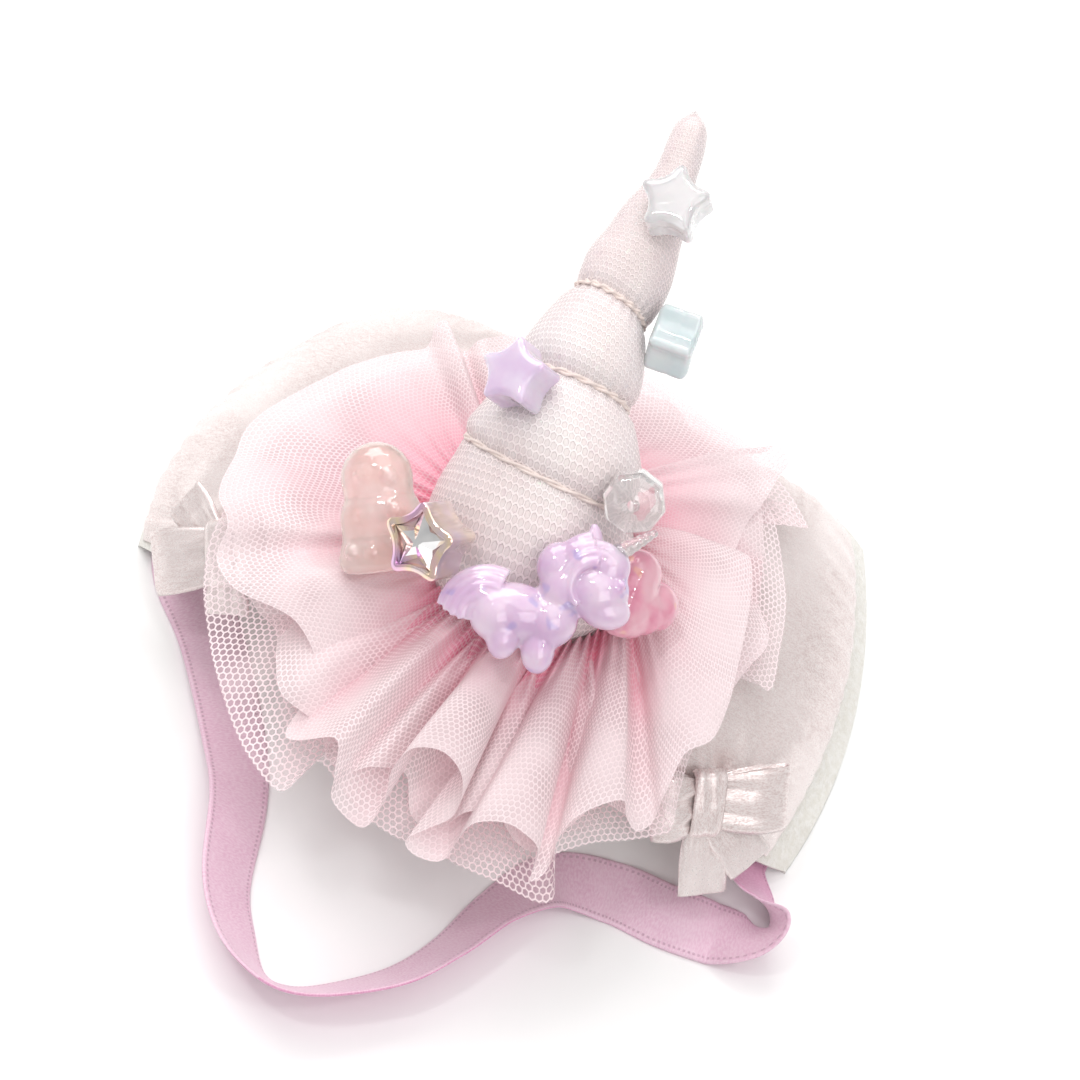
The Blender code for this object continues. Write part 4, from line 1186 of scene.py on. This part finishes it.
def star_blank(outer, inner, thickness, corner, part_line):
    """A five-pointed block with rounded corners and the line where its mould parts."""
    nothing_selected()
    bpy.ops.mesh.primitive_circle_add(vertices=10, radius=outer, fill_type="NGON", location=(0, 0, -thickness / 2))
    star = bpy.context.object
    bpy.ops.object.transform_apply(location=True)
    edit(star)
    # tips lie 18 degrees past each fifth of a turn, and the inner corners 54
    pick(star, lambda v: abs(math.degrees(math.atan2(v.co.y, v.co.x)) % 72 - 54) < 2)
    bpy.ops.transform.resize(value=(inner / outer, inner / outer, 1), center_override=(0, 0, -thickness / 2))
    bpy.ops.mesh.select_all(action="SELECT")
    bpy.ops.mesh.bevel(offset=corner, segments=5, affect="VERTICES")
    bpy.ops.mesh.select_all(action="SELECT")
    bpy.ops.mesh.extrude_region_move(TRANSFORM_OT_translate={"value": (0, 0, thickness * 0.52)})
    if part_line:
        for share, rise in ((0.86, 0.0), (1.0, 0.5), (1 / 0.86, 0.0)):
            bpy.ops.mesh.extrude_region_move(TRANSFORM_OT_translate={"value": (0, 0, rise)})
            bpy.ops.transform.resize(value=(share, share, 1), center_override=(0, 0, 0))
    rise = thickness * 0.48 - (0.5 if part_line else 0.0)
    bpy.ops.mesh.extrude_region_move(TRANSFORM_OT_translate={"value": (0, 0, rise)})
    return star


def make_star_beads(finishes):
    # node, its finish and slot, place along the horn, turn round it, stand-off, turn of its face, tip, spin
    rows = (
        ("white_star_bead", "pearl_resin", 63.6, 17, 4.8, -10, 10, 14),
        ("blue_star_bead", "blue_resin", 45.6, 82, 4.9, 90, 6, 36),
        ("lilac_star_bead", "lilac_resin", 31.8, -27, 6.1, -24, 12, 8),
    )
    for node, slot, along, turn, stand_off, face_turn, tip, spin in rows:
        star = star_blank(6.3, 3.5, 6.0, 1.5, node != "lilac_star_bead")
        bpy.ops.mesh.select_mode(type="FACE")
        pick(star, lambda f: abs(f.normal.z) > 0.9 and abs(f.calc_center_median().z) > 2.5, "faces")
        bpy.ops.mesh.inset(thickness=0.9, depth=0.55)
        bpy.ops.mesh.select_all(action="SELECT")
        bpy.ops.mesh.normals_make_consistent(inside=False)
        bpy.ops.object.mode_set(mode="OBJECT")
        cast(star, 0.24, 9)
        centre, axis, face = horn_seat(along, turn, stand_off, face_turn)
        face += axis * math.tan(math.radians(tip))
        face.normalize()
        x_axis = (axis - face * axis.dot(face)).normalized()
        # a star's first tip is at a quarter turn from its own x axis
        turned = Matrix.Rotation(math.radians(spin - 90), 3, face) @ x_axis
        seat(star, node.replace("_bead", ""), node, slot, [finishes[slot]], centre, turned, face)


def make_rondelle(finish):
    """Barrel bead with eight flats, cut corners and a drilled hole."""
    nothing_selected()
    bpy.ops.mesh.primitive_cylinder_add(vertices=8, radius=4.9, depth=7.6, location=(0, 0, 0))
    bead = bpy.context.object
    edit(bead, "EDGE")
    pick(bead, lambda e: abs(e.verts[0].co.z - e.verts[1].co.z) < 0.01, "edges")
    bpy.ops.mesh.bevel(offset=2.1, segments=2, profile=0.62)
    bpy.ops.mesh.select_all(action="DESELECT")
    bpy.ops.mesh.select_mode(type="FACE")
    pick(bead, lambda f: abs(f.normal.z) > 0.99, "faces")
    bpy.ops.mesh.inset(thickness=1.5, depth=-0.2)
    bpy.ops.mesh.select_all(action="SELECT")
    bpy.ops.mesh.bevel(offset=0.22, segments=2)
    bpy.ops.object.mode_set(mode="OBJECT")
    nothing_selected()
    bpy.ops.mesh.primitive_cylinder_add(vertices=24, radius=0.95, depth=12)
    drill = bpy.context.object
    finish_with(bead, "BOOLEAN", operation="DIFFERENCE", object=drill)
    bpy.data.objects.remove(drill)
    centre, axis, face = horn_seat(20.8, 49, 5.2, 6)
    seat(bead, "clear_rondelle", "clear_rondelle_bead", "clear_resin", [finish], centre, axis, face, 24)


def grown(sides, sections):
    """A round end grown section by section; rows are height, half width, half depth."""
    nothing_selected()
    height, width, depth = sections[0]
    bpy.ops.mesh.primitive_circle_add(vertices=sides, radius=1.0, fill_type="NGON", location=(0, 0, height))
    piece = bpy.context.object
    bpy.ops.object.transform_apply(location=True)
    edit(piece)
    bpy.ops.mesh.select_all(action="SELECT")
    bpy.ops.transform.resize(value=(width, depth, 1), center_override=(0, 0, height))
    for next_height, next_width, next_depth in sections[1:]:
        bpy.ops.mesh.extrude_region_move(TRANSFORM_OT_translate={"value": (0, 0, next_height - height)})
        bpy.ops.transform.resize(value=(next_width / width, next_depth / depth, 1),
                                 center_override=(0, 0, next_height))
        height, width, depth = next_height, next_width, next_depth
    bpy.ops.mesh.select_all(action="SELECT")
    bpy.ops.mesh.normals_make_consistent(inside=False)
    bpy.ops.object.mode_set(mode="OBJECT")
    return piece


def make_peach_bead(finish):
    """A blown bubble bead: a knob over two soft swellings and a flared foot."""
    bead = grown(40, (
        (-9.8, 4.6, 2.0), (-9.5, 6.4, 3.3), (-8.6, 7.3, 4.0), (-7.2, 7.5, 4.4), (-5.6, 7.0, 4.5), (-4.2, 6.5, 4.3),
        (-2.6, 6.5, 4.5), (-0.8, 6.5, 4.7), (0.8, 6.0, 4.5), (1.8, 5.5, 4.1), (3.0, 5.5, 4.2), (4.8, 5.7, 4.4),
        (6.6, 5.4, 4.2), (8.2, 4.5, 3.6), (9.4, 3.2, 2.6), (10.1, 1.6, 1.3), (10.35, 0.5, 0.4)))
    bumps = [bead]
    nothing_selected()
    for x, z, size in ((-2.6, 4.6, 1.5), (1.6, 5.2, 1.3), (-3.0, -0.6, 1.7), (2.2, -0.8, 1.4),
                       (-3.6, -6.0, 1.8), (1.2, -6.4, 1.6), (4.4, -6.2, 1.3)):
        bpy.ops.mesh.primitive_uv_sphere_add(segments=20, ring_count=12, radius=size, location=(x, 3.2, z))
        bumps.append(bpy.context.object)
    bead = fused(bumps)
    cast(bead, 0.3, 6)
    up, out = laid(97, -10)
    out.normalize()
    up = (up - out * up.dot(out)).normalized()
    # the bead was grown along z: its depth faces out of the slanting plane
    seat(bead, "peach_bubble", "peach_bubble_bead", "peach_resin", [finish], PEACH_MIDDLE, out.cross(up), up)


def make_star_setting(plated, glassy):
    """Clear moulded star cup with a plated rim and a recess for the stone."""
    half = 3.3
    star = star_blank(7.0, 4.2, 2 * half, 1.7, False)
    bpy.ops.mesh.select_mode(type="FACE")
    pick(star, lambda f: f.normal.z > 0.9 and f.calc_center_median().z > 2.5, "faces")
    bpy.ops.mesh.inset(thickness=0.45, depth=0.35)
    bpy.ops.mesh.inset(thickness=0.55, depth=0.0)
    bpy.ops.mesh.inset(thickness=0.12, depth=-1.5)
    bpy.ops.mesh.select_all(action="SELECT")
    bpy.ops.mesh.normals_make_consistent(inside=False)
    bpy.ops.object.mode_set(mode="OBJECT")
    finish_with(star, "BEVEL", width=0.16, segments=3, limit_method="ANGLE", angle_limit=math.radians(40))
    for face in star.data.polygons:
        face.material_index = 0 if face.center.z > half - 0.9 else 1
    spin_axis, out = laid(74, -30, -6)
    out.normalize()
    spin_axis = (spin_axis - out * spin_axis.dot(out)).normalized()
    turned = Matrix.Rotation(math.radians(-90), 3, out) @ spin_axis
    seat(star, "star_cup", "star_setting", "rose_plating", [plated, glassy], STAR_MIDDLE, turned, out, 45)


# Charm parts: what it is, middle, radii, turn in the charm's plane
UNICORN_PARTS = (
    ("barrel", (-3.6, -1.8, 0.0), (6.4, 4.4, 3.7), -12),
    ("rump", (-6.6, -2.0, 0.0), (4.2, 4.4, 3.8), 0),
    ("chest", (1.4, -3.0, 0.0), (4.3, 4.3, 3.6), 30),
    ("neck", (3.6, 1.8, 0.2), (3.8, 4.6, 3.4), -20),
    ("head", (8.6, 1.2, 0.5), (4.8, 4.5, 3.7), -10),
    ("muzzle", (9.6, -1.6, 0.5), (4.0, 3.0, 3.0), -14),
    ("brow", (10.2, 4.8, 0.4), (3.4, 3.6, 3.2), 0),
    ("poll", (6.0, 6.6, 0.3), (3.6, 3.0, 2.6), 10),
    ("crest", (2.4, 5.2, 0.2), (3.0, 3.6, 2.6), -20),
    ("ear", (8.3, 9.4, 0.2), (1.1, 2.2, 0.9), 8),
    ("hind leg", (-5.6, -5.4, 0.6), (2.6, 3.6, 2.6), -8),
    ("fore leg", (-0.4, -7.6, 0.3), (2.6, 3.6, 2.6), -6),
    ("dock", (-8.6, 0.6, 0.6), (2.4, 2.6, 2.0), 0),
    ("eye", (12.2, 2.2, 3.1), (0.75, 0.75, 0.6), 0),
)
# Locks of mane and tail, each an arc: middle (x, y), radius, from and to in degrees,
# height over the charm's middle plane at both ends, thickness
UNICORN_LOCKS = (
    (8.4, 1.8, 7.5, 95, 192, 0.7, 0.8, 1.5),
    (8.4, 1.8, 6.3, 92, 203, 1.6, 1.7, 1.5),
    (8.4, 1.8, 5.1, 88, 214, 2.4, 2.6, 1.45),
    (8.4, 1.8, 3.9, 84, 222, 3.0, 3.2, 1.35),
    (8.7, 4.2, 3.9, 118, 12, 1.3, 1.9, 1.4),
    (8.7, 4.2, 2.7, 122, 6, 2.4, 2.9, 1.3),
    (-8.4, -2.6, 6.8, 60, 164, 0.0, -0.3, 2.0),
    (-8.4, -2.6, 5.7, 60, 170, 0.7, 0.4, 2.0),
    (-8.4, -2.6, 4.6, 60, 177, 1.2, 0.9, 1.9),
    (-8.4, -2.6, 3.4, 60, 184, 1.6, 1.3, 1.8),
    (-8.4, -2.6, 2.2, 60, 190, 1.8, 1.4, 1.6),
)


def make_unicorn(finish, clear):
    """A plump toy unicorn of plain shape: balls and combed locks fused into one casting."""
    nothing_selected()
    parts = []
    for _what, middle, radii, turn in UNICORN_PARTS:
        bpy.ops.mesh.primitive_uv_sphere_add(segments=28, ring_count=16, radius=1.0, location=middle, scale=radii,
                                             rotation=(0, 0, math.radians(turn)))
        parts.append(bpy.context.object)
    body = fused(parts)
    cast(body, 0.3, 10)
    parts = [body]
    for x, y, radius, start, end, low, high, thick in UNICORN_LOCKS:
        nothing_selected()
        bpy.ops.curve.primitive_bezier_curve_add(location=(0, 0, 0))
        lock = bpy.context.object
        start, end = math.radians(start), math.radians(end)
        pull = 4 / 3 * math.tan((end - start) / 4) * radius
        first, last = lock.data.splines[0].bezier_points
        for knot, angle, height, way, share in ((first, start, low, 1, 1.0), (last, end, high, -1, 0.5)):
            knot.handle_left_type = knot.handle_right_type = "FREE"
            knot.co = (x + radius * math.cos(angle), y + radius * math.sin(angle), height)
            reach = Vector((-math.sin(angle), math.cos(angle), 0.0)) * pull * way
            knot.handle_left = knot.handle_right = knot.co + reach
            knot.radius = share
        lock.data.bevel_depth = thick * 0.68
        lock.data.bevel_resolution = 5
        lock.data.use_fill_caps = True
        nothing_selected()
        lock.select_set(True)
        bpy.context.view_layer.objects.active = lock
        bpy.ops.object.convert(target="MESH")
        parts.append(bpy.context.object)
    charm = fused(parts)
    cast(charm, 0.22, 3)
    nothing_selected()
    rings = []
    foot, tip = Vector((11.8, 7.0, 0.6)), Vector((17.0, 9.8, 0.6))
    for i in range(6):
        share = i / 5
        bpy.ops.mesh.primitive_uv_sphere_add(segments=24, ring_count=14, radius=blend(1.45, 0.62, share),
                                             location=foot.lerp(tip, share ** 0.9))
        rings.append(bpy.context.object)
    horn = fused(rings)
    cast(horn, 0.2, 2)
    for piece, index in ((charm, 0), (horn, 1)):
        for finish_on_it in (finish, clear):
            piece.data.materials.append(finish_on_it)
        for face in piece.data.polygons:
            face.material_index = index
    nothing_selected()
    horn.select_set(True)
    charm.select_set(True)
    bpy.context.view_layer.objects.active = charm
    bpy.ops.object.join()
    right, out = laid(0)
    seat(charm, "unicorn", "unicorn_charm", "orchid_resin", [finish, clear], UNICORN_MIDDLE, right, out)


def make_heart(finish):
    """Plump heart: two lobes over a tapering foot, fused so that a crease stays between them."""
    nothing_selected()
    parts = []
    for x, y, width, height in ((-3.1, 2.4, 4.0, 3.5), (3.1, 2.4, 4.0, 3.5), (-1.5, 0.0, 4.3, 3.3),
                                (1.5, 0.0, 4.3, 3.3), (0, -2.2, 4.5, 3.1), (0, -4.2, 3.1, 2.7),
                                (0, -6.0, 1.7, 2.0)):
        bpy.ops.mesh.primitive_uv_sphere_add(segments=32, ring_count=20, radius=1.0, location=(x, y, 0),
                                             scale=(width, width, height))
        parts.append(bpy.context.object)
    heart = fused(parts)
    cast(heart, 0.26, 12)
    across, out = laid(-42, 45)
    seat(heart, "rose_heart", "rose_heart_bead", "rose_pearl", [finish], HEART_MIDDLE, across, out)


# Bows: folded satin ribbon

def make_ribbon(rows, thickness):
    """A closed strip through rows of (middle, across, half width, crumple), in millimetres."""
    mesh = bmesh.new()
    layer = mesh.loops.layers.uv.new("cloth")
    fine = 14
    rings, run = [], 0.0
    for i, (middle, across, half, crumple) in enumerate(rows):
        before, after = rows[max(0, i - 1)][0], rows[min(len(rows) - 1, i + 1)][0]
        way = (after - before).normalized()
        through = way.cross(across).normalized()
        if i:
            run += (middle - rows[i - 1][0]).length
        ring = []
        for sign in (1, -1):
            for k in (range(fine + 1) if sign > 0 else range(fine, -1, -1)):
                share = -1 + 2 * k / fine
                edge = math.sqrt(max(0.0, 1 - abs(share) ** 8))
                fold = crumple * (math.sin(share * 7.5 + run * 0.25) + 0.5 * math.sin(share * 15 + 1.3 + run * 0.6))
                fold += 0.12 * noise.noise(Vector((share * 2.0, run * 0.35, thickness)))
                point = middle + across * half * share + through * (fold + sign * (0.08 + thickness / 2 * edge))
                ring.append((mesh.verts.new(metres(point)), (run * MM, share * half * MM)))
        rings.append(ring)
    count = len(rings[0])

    def face(corners):
        made = mesh.faces.new([corner[0] for corner in corners])
        for loop, corner in zip(made.loops, corners):
            loop[layer].uv = corner[1]

    for a, b in zip(rings, rings[1:]):
        for k in range(count):
            m = (k + 1) % count
            face((a[k], b[k], b[m], a[m]))
    for ring, order in ((rings[0], 1), (rings[-1], -1)):
        for k in range(fine):
            face((ring[k], ring[k + 1], ring[count - 2 - k], ring[count - 1 - k])[::order])
    bmesh.ops.recalc_face_normals(mesh, faces=mesh.faces)
    return mesh


def merged(meshes):
    whole = bmesh.new()
    for mesh in meshes:
        data = bpy.data.meshes.new("part")
        mesh.to_mesh(data)
        mesh.free()
        whole.from_mesh(data)
        bpy.data.meshes.remove(data)
    return whole


def bow_loop(place, reach, height, side):
    """Out from the knot, round the end and back underneath."""
    rows = []
    path = eased(((0.6, 0.9, 0.62, 0.55), (2.6, 1.9, 0.85, 0.35), (reach * 0.6, 2.9, 1.0, 0.12),
                  (reach * 0.9, 2.6, 1.0, 0.05), (reach, 1.5, 1.0, 0.03), (reach * 0.9, 0.4, 1.0, 0.05),
                  (reach * 0.55, 0.25, 0.98, 0.10), (2.4, 0.3, 0.8, 0.25), (0.5, 0.4, 0.62, 0.3)), 6)
    for x, z, share, crumple in path:
        lean = 0.05 * x
        across = (place((0, 1, 0)) - place((0, 0, 0))).normalized()
        rows.append((place((side * x, lean * side, z)), across, height * share, crumple))
    return make_ribbon(rows, 0.5)


def bow_tail(place, turn, length, lift, half):
    """A tail of doubled ribbon that hangs from under the knot."""
    rows = []
    way = Vector((math.cos(math.radians(turn)), math.sin(math.radians(turn)), 0))
    side = Vector((-way.y, way.x, 0))
    for x, z, share, crumple in eased(((0.0, 0.9, 0.45, 0.45), (3.0, 1.4, 0.72, 0.35), (7.0, 1.2, 0.95, 0.15),
                                       (length * 0.75, 0.9, 1.0, 0.06), (length, 0.8, 1.0, 0.04)), 7):
        middle = place(tuple(way * x + Vector((0, 0, z + lift))))
        across = (place(tuple(side)) - place((0, 0, 0))).normalized()
        rows.append((middle, across, half * share, crumple))
    return make_ribbon(rows, 0.9)


def bow_knot(place, half_length, half_height):
    """The band that gathers the bow, wrapped over it from edge to edge."""
    rows = []
    for y, z in eased(((-half_height, 0.5), (-half_height * 0.97, 1.6), (-half_height * 0.75, 2.5), (0, 2.8),
                       (half_height * 0.75, 2.5), (half_height * 0.97, 1.6), (half_height, 0.5)), 6):
        across = (place((1, 0, 0)) - place((0, 0, 0))).normalized()
        rows.append((place((0.15 * y * 0.3, y, z)), across, half_length, 0.07))
    return make_ribbon(rows, 0.55)


def make_bows(finish):
    # side, middle, direction it faces, turn of its loops, tails as (turn, length, lift), reach of its loops
    rows = (
        ("right", (39.4, -24.7, 18.9), (0.46, -0.52, 0.72), -4, ((-86, 15.6, 0.0), (-50, 14.0, 0.3)), (9.0, 13.8)),
        ("left", (-46.8, -24.6, 20.9), (-0.34, -0.72, 0.60), 6, ((128, 12.0, 0.0), (-96, 10.0, 0.2)), (13.9, 8.0)),
    )
    for side, middle, out, turn, tails, reach in rows:
        right, _out = laid(turn)

        def place(local, middle=Vector(middle), right=right, out=Vector(out)):
            return placed(local, middle, right, out)

        meshes = [bow_loop(place, reach[0], 5.4, -1), bow_loop(place, reach[1], 5.4, 1)]
        meshes += [bow_tail(place, tail_turn, length, lift - 0.5, 4.2) for tail_turn, length, lift in tails]
        meshes.append(bow_knot(place, 2.7, 5.3))
        bow = joined_object(f"{side}_satin_bow", merged(meshes), [finish])
        belongs(bow, "pearl_satin", f"{side}_bow", f"{side}_bow_knot")


def dress_node(name, finish):
    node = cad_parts[name]
    node.data.materials.clear()
    node.data.materials.append(finish)


make_camera()
make_studio()

pearl_satin = satin("pearl_satin", (0.66, 0.54, 0.525), (0.93, 0.85, 0.835))
make_satin_pad(pearl_satin)
make_felt(felt())
make_horn(stuffing_film(), horn_netting())
make_windings(winding_thread())
DEEP, PALE = (0.86, 0.26, 0.38), (0.93, 0.77, 0.79)
# layer, rim, net (cell, film near the gathers and at the rim, thread), lift, pleats, seed, node
for layer, rim_table, net, lift, pleats, seed, nodes in (
        ("top", TOP_RIM, (0.00092, 0.85, 0.55, 0.16), 3.2, 62, 0.7, ("ruffle_upper",)),
        ("middle", MIDDLE_RIM, (0.00092, 0.85, 0.52, 0.16), 1.4, 66, 2.9, ()),
        ("low", LOW_RIM, (0.00104, 0.70, 0.14, 0.14), 0.0, 58, 5.3, ("ruffle_lower",))):
    finish = tulle(f"pink_tulle_{layer}", DEEP, PALE, *net)
    make_tulle(f"tulle_{layer}", rim_table, finish, lift, pleats, seed, *nodes)
make_strap(ribbon("mauve_velvet", (0.66, 0.27, 0.45), (0.78, 0.44, 0.60), True),
           ribbon("mauve_velvet_back", (0.76, 0.47, 0.61), (0.86, 0.64, 0.74), False))

resins = {
    "pearl_resin": resin("pearl_resin", (0.90, 0.88, 0.90), (0.97, 0.96, 0.96), 0.5, 0.3, film=360.0),
    "blue_resin": resin("blue_resin", (0.72, 0.84, 0.86), (0.86, 0.91, 0.92), 0.30, 0.45),
    "lilac_resin": resin("lilac_resin", (0.74, 0.57, 0.78), (0.84, 0.74, 0.87), 0.15, 0.6),
    "clear_resin": resin("clear_resin", (0.97, 0.92, 0.91), (0.99, 0.97, 0.97), 0.85, 0.1, film=350.0),
    "peach_resin": resin("peach_resin", (1.0, 0.76, 0.70), (1.0, 0.88, 0.84), 0.6, 0.25, film=400.0),
    "orchid_resin": resin("orchid_resin", (0.75, 0.52, 0.75), (0.87, 0.70, 0.84), 0.2, 0.6, mark=(0.45, 0.38, 0.74)),
    "rose_pearl": resin("rose_pearl", (0.80, 0.24, 0.38), (0.88, 0.50, 0.58), 0.15, 0.3, film=420.0,
                        mark=(0.92, 0.48, 0.28)),
}
make_star_beads(resins)
make_rondelle(resins["clear_resin"])
make_peach_bead(resins["peach_resin"])
make_star_setting(plating(), resin("cup_resin", (0.98, 0.78, 0.64), (0.90, 0.72, 0.86), 0.6, 0.1, film=450.0))
dress_node("star_crystal", cut_stone())
make_unicorn(resins["orchid_resin"], resins["clear_resin"])
make_heart(resins["rose_pearl"])
make_bows(pearl_satin)
